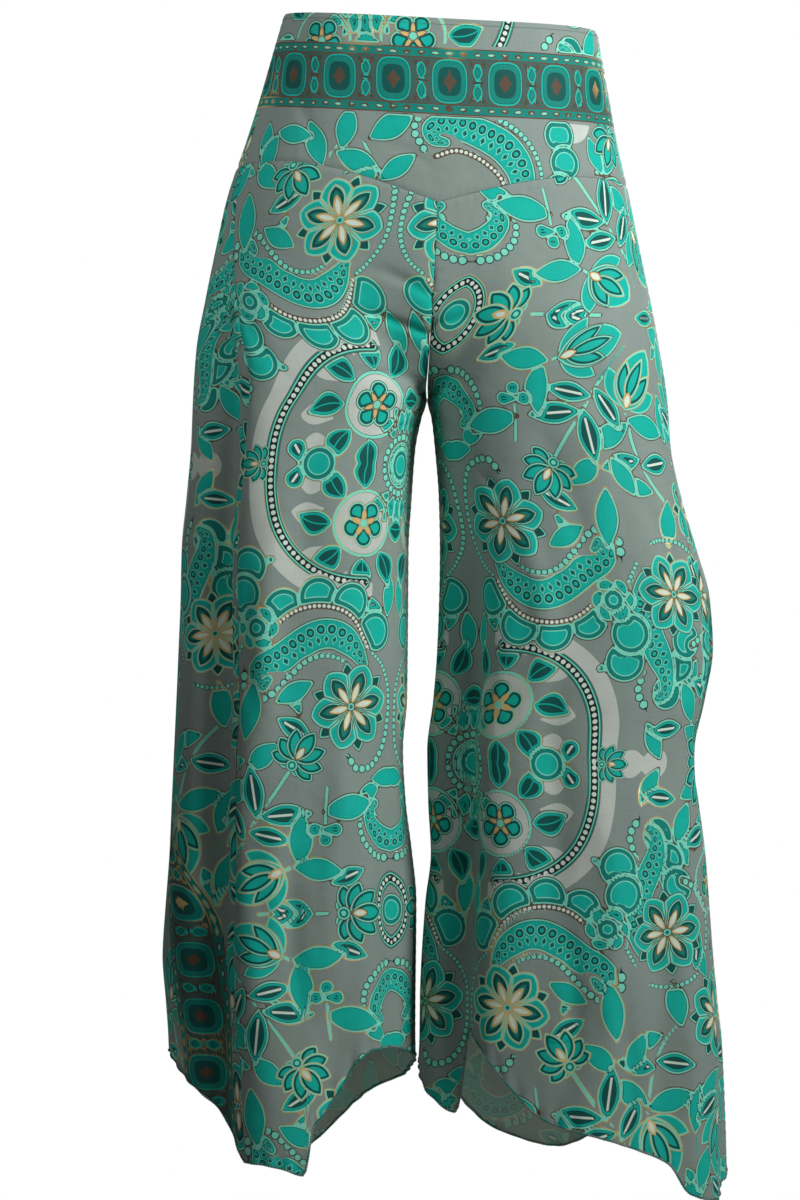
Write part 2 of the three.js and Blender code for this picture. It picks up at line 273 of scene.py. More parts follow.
def hip_point(side, angle, z):
    cos, sin = turns(angle)
    middle = column(BODY, "z", "middle", z)
    half_width = np.abs(column(BODY, "z", side, z) - middle)
    depth = np.where(cos > 0, -column(BODY, "z", "front", z), column(BODY, "z", "back", z))
    out = squareness(cos, sin, HIP_SQUARENESS)
    return middle + SIDE_SIGN[side] * (half_width * sin * out + SEAM_GAP / 2), -depth * cos * out


def leg_point(side, angle, z):
    cos, sin = turns(2 * angle)
    outer = column(BODY, "z", side, z)
    inner = column(LEGS, "z", side, z)
    half_width = np.abs(outer - inner) / 2
    depth = np.where(sin > 0, -column(BODY, "z", "front", z), column(BODY, "z", "back", z))
    out = squareness(cos, sin, LEG_SQUARENESS)
    return (outer + inner) / 2 - SIDE_SIGN[side] * half_width * cos * out, -depth * sin * out


def plain_point(side, angle, z):
    """The level ring before it has any folds."""
    down = np.clip((FORK_TOP_Z - z) / (FORK_TOP_Z - CROTCH_Z), 0, 1)
    at_seam = 1 - np.sqrt(1 - down * down)
    from_seam = np.minimum(angle, 180 - angle)
    share = mix(at_seam, smooth(down, 0, 1), smooth(from_seam, 0, FORK_SEAM_REACH))
    hip_x, hip_y = hip_point(side, angle, z)
    leg_x, leg_y = leg_point(side, angle, z)
    fuller = 1 + FORK_FULLNESS * 4 * share * (1 - share)
    return mix(hip_x, leg_x, share), mix(hip_y, leg_y, share) * fuller


def relief(side, angle, z, hem_z):
    """How far the cloth stands out from the plain ring."""
    out = np.zeros(np.shape(angle))
    folds = FOLDS[side]
    for top, full, angle_top, angle_low, width, depth in zip(*folds.values()):
        grown = smooth(-z, -top, -full)
        centre = mix(angle_top, angle_low, smooth(-z, -top, -FOLD_LOW_Z))
        out -= depth * grown * hump(angle - centre, width)
    count, height, start = FLUTES[side]
    near_hem = 1 - smooth(z, hem_z, hem_z + HEM_FLUTE_REACH)
    from_seam = smooth(np.minimum(angle, 180 - angle), *FLUTE_CLEAR)
    return out + height * near_hem * from_seam * np.sin(np.radians(2 * angle * count) + start)


def surface(side, angle, z, hem_z):
    """Points of the garment's outer surface, in millimetres."""
    x, y = plain_point(side, angle, z)
    out = relief(side, angle, z, hem_z)
    ax, ay = plain_point(side, angle - STEP, z)
    bx, by = plain_point(side, angle + STEP, z)
    length = np.maximum(np.hypot(bx - ax, by - ay), 1e-6)
    turn = -SIDE_SIGN[side]
    return np.stack([x - turn * (by - ay) * out / length, y + turn * (bx - ax) * out / length, z + 0 * x], -1)


middle_of_shin = surface("left", np.array([45.0]), np.array([-800.0]), NO_HEM_Z)
print("a point on the left shin:", middle_of_shin.round(1), "mm")

# %% [markdown]
# ## Edges of the panels
# The waist dips a little at the middle of the front and of the back, and the yoke's lower edge comes to a
# shallow point there. The side seams don't run down the widest part of the leg: the chart of the legs says
# how far in front of it they lie. Neighbouring panels stop a fraction of a millimetre short of each other.

# %% Edges of the panels


def waist_z(side, angle):
    drop = WAIST_TILT * hip_point(side, angle, YOKE_SIDE_Z + 0 * angle)[0]
    return WAIST_SIDE_Z + drop - WAIST_DIP * np.cos(np.radians(angle)) ** 2


def yoke_z(side, angle):
    x = hip_point(side, angle, YOKE_SIDE_Z + 0 * angle)[0]
    point = np.where(angle < 90, YOKE_POINT["front"], YOKE_POINT["back"])
    near = 1 - smooth(np.abs(x), -YOKE_POINT_SPAN, YOKE_POINT_SPAN)
    return YOKE_SIDE_Z + WAIST_TILT * x - 2 * point * near


def panel_angle(side, face, along, z):
    """Angle at a share of the way from the middle or the inseam (0) to the side seam (1)."""
    seam = 90 - column(LEGS, "z", side + "_seam", z)
    ax, ay = plain_point(side, seam - 1, z)
    bx, by = plain_point(side, seam + 1, z)
    gap = SEAM_GAP / np.hypot(bx - ax, by - ay)
    inset = np.where(z < CROTCH_Z, gap, 0)
    if face == "front":
        return mix(inset, seam - gap, along)
    return mix(180 - inset, seam + gap, along)


print("lowest point of the front yoke:", round(float(yoke_z("left", np.array([0.0]))[0])), "mm")

# %% [markdown]
# ## Grids
# Each panel is a grid whose edges are its seams and its hem. The print needs a point every two to three
# millimetres, so the number of rows and columns follows the panel's real width and height. Columns are placed
# by length along the cloth and not by angle, which would crowd them at the corners of the leg.

# %% Grids of the panels
SPACING = 2.45  # between neighbouring points of a panel
WIDTH_AT_Z = {"leg": -620.0, "yoke": -80.0}  # height where a panel's width is measured
UPPER_ROWS = 1.25  # more rows above the crotch, where the form turns most


def even(count):
    """The next even whole number: the plain inside of the cloth uses every second point."""
    return 2 * math.ceil(count / 2)


def column_shares(side, face, z):
    """Shares of a panel's width that are equally far apart along the cloth at height z."""
    share = np.linspace(0, 1, 400)  # fine steps to measure by
    height = np.full(share.shape, z)
    angle = panel_angle(side, face, share, height)
    points = surface(side, angle, height, np.full(share.shape, NO_HEM_Z))
    length = np.concatenate([[0], np.cumsum(np.linalg.norm(np.diff(points, axis=0), axis=1))])
    count = even(length[-1] / SPACING)
    return np.interp(np.linspace(0, length[-1], count + 1), length, share)


def leg_grid(side, face):
    """(points, angles, heights of the hem) of one leg panel."""
    share = column_shares(side, face, WIDTH_AT_Z["leg"])
    hem_z = column(HEMS[side, face], "along", "z", share)
    top = yoke_z(side, panel_angle(side, face, share, YOKE_SIDE_Z + 0 * share)) - SEAM_GAP / 2
    above = even(UPPER_ROWS * (YOKE_SIDE_Z - CROTCH_Z) / SPACING)
    below = even((CROTCH_Z - hem_z.mean()) / SPACING)
    upper = np.sin(np.radians(90 * np.arange(above) / above))[:, None]
    lower = (np.arange(below + 1) / below)[:, None]
    z = np.concatenate([mix(top, CROTCH_Z, upper), mix(CROTCH_Z, hem_z, lower)])
    share = np.broadcast_to(share, z.shape)
    hem_z = np.broadcast_to(hem_z, z.shape)
    angle = panel_angle(side, face, share, z)
    return surface(side, angle, z, hem_z), angle, hem_z


def yoke_grid(face):
    """(points, angles, heights of the hem) of the front or back yoke, from one side seam to the other."""
    parts = []
    down = np.linspace(0, 1, even((WAIST_SIDE_Z - YOKE_SIDE_Z) / SPACING) + 1)[:, None]
    for side in SIDE_SIGN:
        share = column_shares(side, face, WIDTH_AT_Z["yoke"])
        edge = panel_angle(side, face, share, YOKE_SIDE_Z + 0 * share)
        z = mix(waist_z(side, edge), yoke_z(side, edge) + SEAM_GAP / 2, down)
        angle = panel_angle(side, face, np.broadcast_to(share, z.shape), z)
        hem_z = np.full(z.shape, float(NO_HEM_Z))
        points = surface(side, angle, z, hem_z)
        points[:, 0, 0] = column(BODY, "z", "middle", z[:, 0])
        parts.append((points, angle, hem_z))
    left, right = parts
    return tuple(np.concatenate([a[:, :0:-1], b], axis=1) for a, b in zip(left, right))


PANELS = {
    "yoke_front": (yoke_grid("front"), 1),
    "yoke_back": (yoke_grid("back"), -1),
    "leg_left_front": (leg_grid("left", "front"), -1),
    "leg_left_back": (leg_grid("left", "back"), 1),
    "leg_right_front": (leg_grid("right", "front"), 1),
    "leg_right_back": (leg_grid("right", "back"), -1),
}
for name, ((points, angle, hem_z), turn) in PANELS.items():
    print(name, "rows and columns:", points.shape[:2])

# %% [markdown]
# ## From a grid to a sheet
# A sheet of cloth is one closed shell: the outer grid, an inner grid just behind it, and a rim along the
# edges. The Solidify modifier could do this too. Making it here lets the inside be four times coarser,
# because nothing is printed on it sharply, which saves a fifth of the faces.

# %% Shells
SHARP_EDGE = 60  # degrees; the rim turns more than this and is shaded sharp


def outward(points, turn, angle, side_sign):
    """Unit directions that point out of the cloth."""
    across = np.gradient(points, axis=1)
    down = np.gradient(points, axis=0)
    out = turn * np.cross(down, across)
    out /= np.maximum(np.linalg.norm(out, axis=-1, keepdims=True), 1e-9)
    beside = np.minimum(angle, 180 - angle) < BESIDE_OTHER_LEG
    wrong = beside & (points[..., 2] < FORK_TOP_Z) & (out[..., 0] * side_sign > -LEAN)
    out[..., 0] = np.where(wrong, -LEAN * side_sign, out[..., 0])
    return out / np.linalg.norm(out, axis=-1, keepdims=True)


def edge_walk(rows, columns):
    """Indices of the edge points of a grid, once round."""
    at = np.arange(rows * columns).reshape(rows, columns)
    return np.concatenate([at[0, :-1], at[:-1, -1], at[-1, :0:-1], at[:0:-1, 0]])


def make_mesh(name, vertices, quads, triangles):
    mesh = bpy.data.meshes.new(name)
    mesh.vertices.add(len(vertices))
    mesh.vertices.foreach_set("co", (vertices * MM).astype(np.float32).ravel())
    corners = np.concatenate([quads.ravel(), triangles.ravel()]).astype(np.int32)
    starts = np.concatenate([np.arange(len(quads)) * 4, len(quads) * 4 + np.arange(len(triangles)) * 3])
    mesh.loops.add(len(corners))
    mesh.loops.foreach_set("vertex_index", corners)
    mesh.polygons.add(len(starts))
    mesh.polygons.foreach_set("loop_start", starts.astype(np.int32))
    mesh.update(calc_edges=True)
    mesh.validate()
    mesh.shade_smooth()
    return mesh


def grid_quads(rows, columns, first=0):
    at = first + np.arange(rows * columns).reshape(rows, columns)
    return np.stack([at[:-1, :-1], at[1:, :-1], at[1:, 1:], at[:-1, 1:]], -1).reshape(-1, 4)


def shell(name, points, directions, turn):
    """A closed sheet with its outside on the points."""
    rows, columns = points.shape[:2]
    inner = (points - WALL * directions)[::2, ::2]
    inner_rows, inner_columns = inner.shape[:2]
    count = rows * columns
    vertices = np.concatenate([points.reshape(-1, 3), inner.reshape(-1, 3)])
    outer_quads = grid_quads(rows, columns)
    inner_quads = grid_quads(inner_rows, inner_columns, count)[:, ::-1]
    quads = np.concatenate([outer_quads, inner_quads])
    walk = edge_walk(rows, columns)
    a, b, c = walk[::2], walk[1::2], np.roll(walk, -2)[::2]
    inside = count + edge_walk(inner_rows, inner_columns)
    after = np.roll(inside, -1)
    rim = [np.stack(corners, -1) for corners in ((a, b, inside), (b, c, after), (b, after, inside))]
    triangles = np.concatenate(rim)
    if turn < 0:
        quads, triangles = quads[:, ::-1], triangles[:, ::-1]
    mesh = make_mesh(name, vertices, quads, triangles)
    mesh.set_sharp_from_angle(angle=math.radians(SHARP_EDGE))
    return mesh


print("edge points of a grid of 3 by 5:", len(edge_walk(3, 5)))

# %% [markdown]
# ## Places on the cloth
# The print has to follow the cloth round the leg, as it does on the real one, which was printed flat and then
# cut. So every point gets a place on the flat cloth: how far round it lies from the middle of the panel,
# measured along the cloth, and how high. Projecting the print from the front would smear it down the sides.

# %% Flat places
MIDDLE_OF_LEG = {"front": 45, "back": 135}  # degrees, where a leg panel's own measure begins


def length_along(points):
    """Millimetres along each row of a grid, from its first point."""
    step = np.hypot(*np.moveaxis(np.diff(points[..., :2], axis=1), -1, 0))
    return np.concatenate([np.zeros((len(points), 1)), np.cumsum(step, axis=1)], axis=1)


def flat_place(name, points, angle):
    """(round, height) of every point, round growing towards the side seam, or to the right on a yoke."""
    kind, where, *face = name.split("_")
    length = length_along(points)
    if kind == "yoke":
        middle = points.shape[1] // 2
        return length - length[:, middle : middle + 1], points[..., 2]
    from_angle = MIDDLE_OF_LEG[face[0]]
    order = 1 if angle[0, -1] > angle[0, 0] else -1
    start = [np.interp(order * from_angle, order * a, one) for a, one in zip(angle, length)]
    return length - np.array(start)[:, None], points[..., 2]


places = {name: flat_place(name, points, angle) for name, ((points, angle, _), _) in PANELS.items()}
for name, (u, v) in places.items():
    print(name, "runs from", int(u.min()), "to", int(u.max()), "mm round")

# %% [markdown]
# ## Creases, seams and edges
# The CAD panels have the largest folds. The sheet adds what is smaller: soft creases that pull from the
# crotch and from the side seams, the shallow ditch along a seam, where the cloth is drawn in by its thread,
# and the ripple of a narrow rolled hem. Cloth simulation could make creases too, but not these ones in these
# places. Each crease is a line on the flat cloth with a width and a depth, faded out at both ends.

# %% Creases
# Each crease: flat place of one end and of the other, half width and depth, in mm. Depth below 0 is a ridge.
CREASES = {
    "yoke_front": numbers("""
-150 -60 -118 -128 7 1; -60 -120 -8 -148 6 1.1; 70 -118 12 -150 6 1; 150 -70 128 -140 8 1.1;
-20 -10 -34 -70 9 0.5; 96 -12 104 -80 10 0.6
"""),
    "yoke_back": numbers("""
-140 -50 -112 -130 8 1.2; -48 -118 -6 -146 6 1; 62 -112 10 -148 6 1.2; 138 -60 120 -140 8 1.1;
10 -14 22 -80 9 0.6
"""),
    "leg_left_front": numbers("""
-170 -318 -60 -262 5 3.2; -150 -336 -40 -318 5 2.6; -110 -350 -50 -402 6 -2.4; -150 -262 -84 -226 6 2.2;
-84 -470 -66 -700 10 3.4; -30 -300 -18 -520 14 2.8; 6 -420 10 -640 13 -2.7; 20 -640 4 -868 12 3;
-60 -620 -44 -880 12 -3; 40 -240 16 -330 9 1.4; -10 -700 -22 -895 10 3.4; 34 -480 28 -620 9 2.3
"""),
    "leg_right_front": numbers("""
-190 -318 -90 -268 5 3.2; -170 -332 -64 -326 5 2.8; -120 -352 -56 -432 6 2.6; -176 -280 -104 -214 6 2.2;
-52 -420 -40 -640 12 -3.4; -20 -360 10 -520 14 3; 30 -300 48 -470 12 1.5; 70 -420 98 -540 12 3.8;
64 -560 104 -600 10 3.6; -24 -560 -30 -800 13 3.2; 12 -640 20 -940 13 -3.4; 56 -700 66 -980 13 3.6;
88 -760 98 -1000 12 -3; -8 -780 -14 -950 10 3; 36 -840 40 -1000 9 2.8
"""),
    "leg_left_back": numbers("""
-104 -310 -30 -240 7 2.2; -100 -345 -20 -318 7 2; -92 -392 -50 -470 8 1.8; -40 -300 -34 -560 16 3;
0 -420 8 -700 14 3.6; 52 -520 58 -820 13 -3.6; 96 -640 90 -930 12 3.8; -66 -620 -58 -900 12 3.6;
130 -420 118 -640 13 3; 30 -760 26 -980 10 3.4; -20 -800 -26 -960 10 -3; 150 -700 146 -880 12 2.8
"""),
    "leg_right_back": numbers("""
-100 -312 -28 -244 7 2.1; -98 -342 -24 -330 7 1.9; -86 -398 -44 -476 8 1.7; -34 -320 -26 -560 16 2.8;
8 -440 14 -720 14 3.4; 60 -480 72 -640 13 3.8; 66 -700 62 -930 12 -3.6; -60 -640 -52 -930 12 3.4;
28 -760 30 -970 10 3.2; -12 -820 -18 -980 10 -3; 110 -600 104 -860 12 3.2
"""),
}
# A long fold behind the side seam: distance from the seam, half width, depth, highest and lowest place.
SIDE_FOLD = {"leg_left_back": (20, 8, 4.5, -170, -900), "leg_right_back": (34, 12, 3.5, -330, -980)}
SIDE_FOLD_FADE = (120, 60)  # how softly it begins and ends
SEAM_DITCH = {"depth": 0.9, "width": 1.9}
TOP_EDGE = {"depth": 0.5, "width": 1.3}  # where the yoke's top edge is turned in
# Small gathers beside a seam, and the ripple of a hem. Both come a little early and late along their line.
PUCKER = {"height": 0.22, "length": 8.5, "reach": 9.0, "shift": (1.7, 23)}
PUCKER_CLEAR = 2.5  # how near the seam the gathers fade out
HEM_RIPPLE = {"height": 0.9, "length": 17.0, "reach": 14.0, "shift": (1.3, 31)}
RIPPLE_CLEAR = (2, 14)  # how far from a seam the ripple begins and is full
DRAPE = 0.22  # height of the faint waves everywhere below the hips
DRAPE_FROM = (120, 420)  # how far below the waist they begin and are full
CREASE_BOW = 0.06  # share of its length by which a crease is bent
CREASE_FADE = 0.7  # below 1, a crease keeps its depth nearer to its ends


def crease_height(u, v, ax, ay, bx, by, width, depth):
    dx, dy = bx - ax, by - ay
    t = np.clip(((u - ax) * dx + (v - ay) * dy) / (dx * dx + dy * dy), 0, 1)
    bow = CREASE_BOW * np.sin(math.pi * t)
    off = np.hypot(u - ax - t * dx + bow * dy, v - ay - t * dy - bow * dx)
    fade = np.sin(math.pi * np.clip(t, 0.001, 0.999)) ** CREASE_FADE
    return -depth * fade * hump(off, width)


def uneven_wave(along, wave):
    """A wave between -1 and 1 that comes a little early in one place and late in another."""
    shift, over = wave["shift"]
    return np.sin(2 * math.pi * along / wave["length"] + shift * np.sin(along / over))


def seam_height(off, along):
    """Height beside a seam, for the distance from it and the place along it."""
    ditch = -SEAM_DITCH["depth"] * hump(off, SEAM_DITCH["width"])
    near = hump(off, PUCKER["reach"]) * (1 - hump(off, PUCKER_CLEAR))
    return ditch + PUCKER["height"] * uneven_wave(along, PUCKER) * near


def small_relief(name, points, place):
    """How far the sheet stands out from the CAD form, in millimetres."""
    u, v = place
    height = np.zeros(u.shape)
    for crease in CREASES[name]:
        height += crease_height(u, v, *crease)
    height += seam_height(u - u[:, :1], v) + seam_height(u[:, -1:] - u, v)
    if name in SIDE_FOLD:
        off, width, depth, high, low = SIDE_FOLD[name]
        begin, end = SIDE_FOLD_FADE
        long = smooth(-v, -high, -high + begin) * (1 - smooth(-v, -low - end, -low + end))
        height -= depth * long * hump(u[:, -1:] - u - off, width)
    kind = name.split("_")[0]
    below_top = points[:1, :, 2] - points[..., 2]
    above_low = points[..., 2] - points[-1:, :, 2]
    if kind == "yoke":
        height += seam_height(above_low, u)
        height -= TOP_EDGE["depth"] * hump(below_top, TOP_EDGE["width"])
    else:
        height += seam_height(below_top, u)
        clear = smooth(np.minimum(u - u[:, :1], u[:, -1:] - u), *RIPPLE_CLEAR)
        near = hump(above_low, HEM_RIPPLE["reach"])
        height += HEM_RIPPLE["height"] * uneven_wave(u, HEM_RIPPLE) * clear * near
    # Two waves that cross at a slant, so that no two places have the same fold.
    drape = np.sin(u / 17 + 1.1 * np.sin(v / 61)) + 0.7 * np.sin(u / 29 - v / 83 + 2)
    return height + DRAPE * drape * smooth(-v, *DRAPE_FROM)


sheets = {}
for name, ((points, angle, hem_z), turn) in PANELS.items():
    side_sign = SIDE_SIGN.get(name.split("_")[1], 0)
    raised = small_relief(name, points, places[name])
    points = points + raised[..., None] * outward(points, turn, angle, side_sign)
    sheets[name] = {"points": points, "out": outward(points, turn, angle, side_sign), "turn": turn}
    print(name, "creases:", len(CREASES[name]), "relief:", raised.min().round(1), "to", raised.max().round(1))

# %% [markdown]
# ## Ink
# The print is drawn with distances. For every point of a sheet the script keeps how far it is from the edge
# of the nearest motif, below 0 inside. The material turns those distances into colours, and because a
# distance changes evenly between two points, an outline stays sharp even where it is thinner than the mesh is
# fine. Painting a colour on each point would blur, and an image would stop at its own resolution.
#
# Rows of beads and whole flowers work in a second way: each point keeps its place on them, such as how many
# beads along it is, or how far it is from the flower's middle. The material then draws the bead or the petals
# there.

# %% Ink
FAR = 60.0
OUTLINE = 1.0  # gap that a motif leaves round itself when it lies on others
SPREAD = 1.6  # how much the printed ink spreads a large motif beyond its drawing
ROOM = 6  # how far round a motif its distances are worked out
PLAIN, VEINED, RINGED, SLIT, PALE, GOLDEN, OVAL, PETAL = range(8)  # how a motif is filled
CORD, PEARLS, DOTS, STEM, SCALES = range(1, 6)  # how a row is drawn
STAR, ROSETTE, LOTUS, BUD = range(1, 5)  # the flowers that the material draws, petal by petal
# Of each flower: the values that keep it, its size as the material draws it, and its middle and radius.
FLOWERS = {
    STAR: ("flower", 38.0, 0.0, 41.0),
    ROSETTE: ("flower", 20.0, 0.0, 22.0),
    LOTUS: ("bloom", 26.0, 10.0, 32.0),
    BUD: ("bloom", 58.0, 28.0, 34.0),
}
SCALE_PITCH = 8.6  # length of one scale in a horn
ROW_REACH = {CORD: 1.05, PEARLS: 0.56, DOTS: 0.62, STEM: 0.72}  # half width of a row, in beads


def clean_ink(count):
    """Values of an unprinted cloth: everything is far away."""
    ink = {name: np.full(count, FAR) for name in ("body", "inlay", "pale", "band")}
    ink |= {name: np.zeros(count) for name in ("across", "fill")}
    for name in ("row", "flower", "bloom"):
        ink[name] = np.full((count, 3), FAR)
        ink[name + "_kind"] = np.zeros(count)
    return ink


print("values kept on every point:", ", ".join(clean_ink(1)))

# %% [markdown]
# Horns, stems and rows of beads follow smooth curves through a few points. A curve is kept as many short
# straight pieces, and for each point of the cloth the nearest piece says how far along and across it is.

# %% Curves


def smooth_curve(points, steps=7):
    """Close points of a smooth curve through the given ones. Extra columns, such as a width, are kept."""
    p = np.array(points, float)
    p = np.vstack([2 * p[0] - p[1], p, 2 * p[-1] - p[-2]])
    t = np.linspace(0, 1, steps, endpoint=False)[:, None]
    parts = []
    for a, b, c, d in zip(p[:-3], p[1:-2], p[2:-1], p[3:]):
        bend = (2 * a - 5 * b + 4 * c - d) * t**2 + (3 * b - a - 3 * c + d) * t**3
        parts.append((2 * b + (c - a) * t + bend) / 2)
    return np.vstack([*parts, p[-2:-1]])


def run_along(u, v, spine):
    """(distance, length along, signed distance across) from a curve, for each point."""
    distance = np.full(u.shape, FAR)
    length = np.zeros(u.shape)
    across = np.zeros(u.shape)
    run = 0.0
    for (ax, ay), (bx, by) in zip(spine[:-1, :2], spine[1:, :2]):
        dx, dy = bx - ax, by - ay
        size = math.hypot(dx, dy)
        t = np.clip(((u - ax) * dx + (v - ay) * dy) / size**2, 0, 1)
        here = np.hypot(u - ax - t * dx, v - ay - t * dy)
        closer = here < distance
        distance = np.where(closer, here, distance)
        length = np.where(closer, run + t * size, length)
        across = np.where(closer, np.copysign(here, (v - ay) * dx - (u - ax) * dy), across)
        run += size
    return distance, length, across


def ring_points(x, y, radius, count=24, start=0, end=360):
    way = np.radians(np.linspace(start, end, count + 1))
    return np.stack([x + radius * np.cos(way), y + radius * np.sin(way)], -1)


print("points on a ring:", len(ring_points(0, 0, 10)))

# %% [markdown]
# The brush knows where each point of a sheet lies on the flat cloth, and works out its distance to a shape.
# Shapes are laid on top of one another, so a new one cuts back what is under it and leaves a thin line of
# ground round itself, as the blocks of a printer do.

# %% Brush


class Brush:
    """Draws motifs on a sheet. u and v are its points' flat places, folded where the print is mirrored."""

    def __init__(self, ink, u, v):
        self.ink, self.u, self.v = ink, u, v

    def near(self, x, y, reach):
        found = (np.abs(self.u - x) < reach) & (np.abs(self.v - y) < reach)
        return np.flatnonzero(found)

    def lay(self, here, shape, across, fill):
        """Puts a shape on top of what is there. What is under it is cut back all round by the outline."""
        ink = self.ink
        under = np.maximum(ink["body"][here], OUTLINE - shape)
        on_top = shape < under
        ink["body"][here] = np.minimum(under, shape)
        ink["across"][here] = np.where(on_top, across, ink["across"][here])
        ink["fill"][here] = np.where(on_top, fill, ink["fill"][here])
        ink["inlay"][here] = np.maximum(ink["inlay"][here], OUTLINE - shape)
        ink["row"][here, 2] = np.where(shape < OUTLINE, FAR, ink["row"][here, 2])

    def local(self, x, y, turn, reach):
        here = self.near(x, y, reach)
        du, dv = self.u[here] - x, self.v[here] - y
        cos, sin = turns(turn)
        return here, du * cos + dv * sin, dv * cos - du * sin

    def blade(self, x, y, turn, length, width, fill=PLAIN, fullest=0.5, bend=0.0, ink=None):
        """A pointed leaf or petal with its root at (x, y)."""
        here, a, b = self.local(x, y, turn, length + ROOM)
        t = np.clip(a / length, 0, 1)
        b = b - 4 * bend * length * t * (1 - t)
        half = width / 2 * np.sin(math.pi * t ** (math.log(0.5) / math.log(fullest))) ** 0.9
        edge = np.abs(b) - half
        shape = 0.9 * np.where(edge > 0, np.hypot(edge, a - t * length), edge)
        self.put(here, shape, b, fill, ink)

    def drop(self, x, y, turn, length, width, fill=PLAIN, ink=None):
        """A petal with a round head, its root at (x, y)."""
        here, a, b = self.local(x, y, turn, length + ROOM)
        head = length - width / 2
        t = np.clip(a / head, 0, 1)
        shape = np.hypot(a - t * head, b) - width / 2 * (0.25 + 0.75 * t)
        self.put(here, shape, b, fill, ink)

    def disc(self, x, y, radius, fill=RINGED, ink=None):
        here, a, b = self.local(x, y, 0, radius + ROOM)
        self.put(here, np.hypot(a, b) - radius, b, fill, ink)

    def oval(self, x, y, half_width, half_height, power, fill=OVAL, ink=None):
        """A squarish oval: a power of 2 is an ellipse, and more is squarer."""
        here, a, b = self.local(x, y, 0, max(half_width, half_height) + ROOM)
        size = ((np.abs(a) / half_width) ** power + (np.abs(b) / half_height) ** power) ** (1 / power)
        self.put(here, (size - 1) * (half_width + half_height) / 2, b, fill, ink)

    def put(self, here, shape, across, fill, ink):
        """Lays a shape down, or adds it to another ink. The ink "none" wipes out what the shape covers."""
        if ink is None:
            self.lay(here, shape - (0 if fill in (PALE, GOLDEN, PETAL) else SPREAD), across, fill)
        elif ink == "none":
            self.ink["body"][here] = np.maximum(self.ink["body"][here], -shape)
        else:
            self.ink[ink][here] = np.minimum(self.ink[ink][here], shape)

    def keep_place(self, layer, kind, here, *place):
        """Gives points their place on a motif: along, across and how near. The nearest motif wins."""
        kept, kinds = self.ink[layer], self.ink[layer + "_kind"]
        closer = place[2] < kept[here, 2]
        kept[here] = np.where(closer[:, None], np.stack(place, -1), kept[here])
        kinds[here] = np.where(closer, kind, kinds[here])

    def stamp(self, kind, x, y, turn, size):
        """A flower or a bud, which opens towards turn."""
        layer, drawn_size, middle, reach = FLOWERS[kind]
        scale = size / drawn_size
        here, a, b = self.local(x, y, turn, (middle + reach) * scale + 8)
        a, b = a / scale, b / scale
        self.keep_place(layer, kind, here, a, b, np.hypot(a - middle, b) / reach)

    def along(self, spine, room):
        """Points near a curve, and their distance, length along and distance across."""
        middle = (spine[:, :2].min(0) + spine[:, :2].max(0)) / 2
        here = self.near(*middle, np.ptp(spine[:, :2], axis=0).max() / 2 + room + ROOM)
        return here, *run_along(self.u[here], self.v[here], spine)

    def ribbon(self, points, fill=PLAIN, ink=None):
        """A band along a smooth curve through (x, y, half width)."""
        spine = smooth_curve(points)
        run = np.concatenate([[0], np.cumsum(np.hypot(*np.diff(spine[:, :2], axis=0).T))])
        here, distance, length, across = self.along(spine, spine[:, 2].max())
        half = np.interp(length, run, spine[:, 2])
        self.put(here, distance - half, across, fill, ink)
        return here, length, across, distance, half

    def row(self, points, pitch, kind):
        """A row of beads, or a plain stem. The pitch may grow from one end to the other."""
        spine = smooth_curve(points)
        first, last = pitch if isinstance(pitch, tuple) else (pitch, pitch)
        total = np.hypot(*np.diff(spine, axis=0).T).sum()
        here, distance, length, across = self.along(spine, 2 * max(first, last))
        size = mix(first, last, length / total)
        beads = length / first if first == last else total / (last - first) * np.log(size / first)
        self.keep_place("row", kind, here, beads, across / size, distance / (ROW_REACH[kind] * size))
        self.ink["body"][here] = np.maximum(self.ink["body"][here], ROW_REACH[kind] * size - distance)


print("a motif leaves a line of", OUTLINE, "mm round itself")

# %% [markdown]
# ## Motifs
# The flowers, leaves and horns are those of block-printed cottons and silks all over the world: a round
# flower with six petals, a lotus seen from the side, a closed bud, a curled horn with scales in it, rows of
# scallops. A drawing is a list of them in the order in which they are laid down, each with its name and its
# numbers, like the orders for a set of printing blocks.
#
# A leaf, a slit leaf and a drop give their place, turn, length and width. A ring and a moon, which is a disc
# of pale ground, give their place and radius, and a star, lotus or bud its place, turn and size. A rosette
# gives its place, its radius and that of the ring round it. Scallops give their radius and then their places.
# A stem and a row of pearls or dots give the distance between beads at both ends, and then the points of
# their line. A horn gives the points of its line, each with the half width there.

# %% Motifs


def rosette(brush, x, y, radius, ring):
    brush.row(ring_points(x, y, ring), 2.4, STEM)
    brush.stamp(ROSETTE, x, y, 90, radius)


def in_groups(count, values):
    """Numbers in groups, such as the points of a line."""
    return np.reshape(values, (-1, count))


def horn(brush, *line):
    """A curled horn through (x, y, half width). Its points keep their place on it, for the scales in it."""
    here, length, across, distance, half = brush.ribbon(in_groups(3, line), PLAIN)
    brush.keep_place("row", SCALES, here, length / SCALE_PITCH, across / half, distance / half)


def scallops(brush, radius, *places):
    for x, y in in_groups(2, places):
        brush.disc(x, y, radius, RINGED)


def row_of(kind):
    return lambda brush, first, last, *line: brush.row(in_groups(2, line), (first, last), kind)


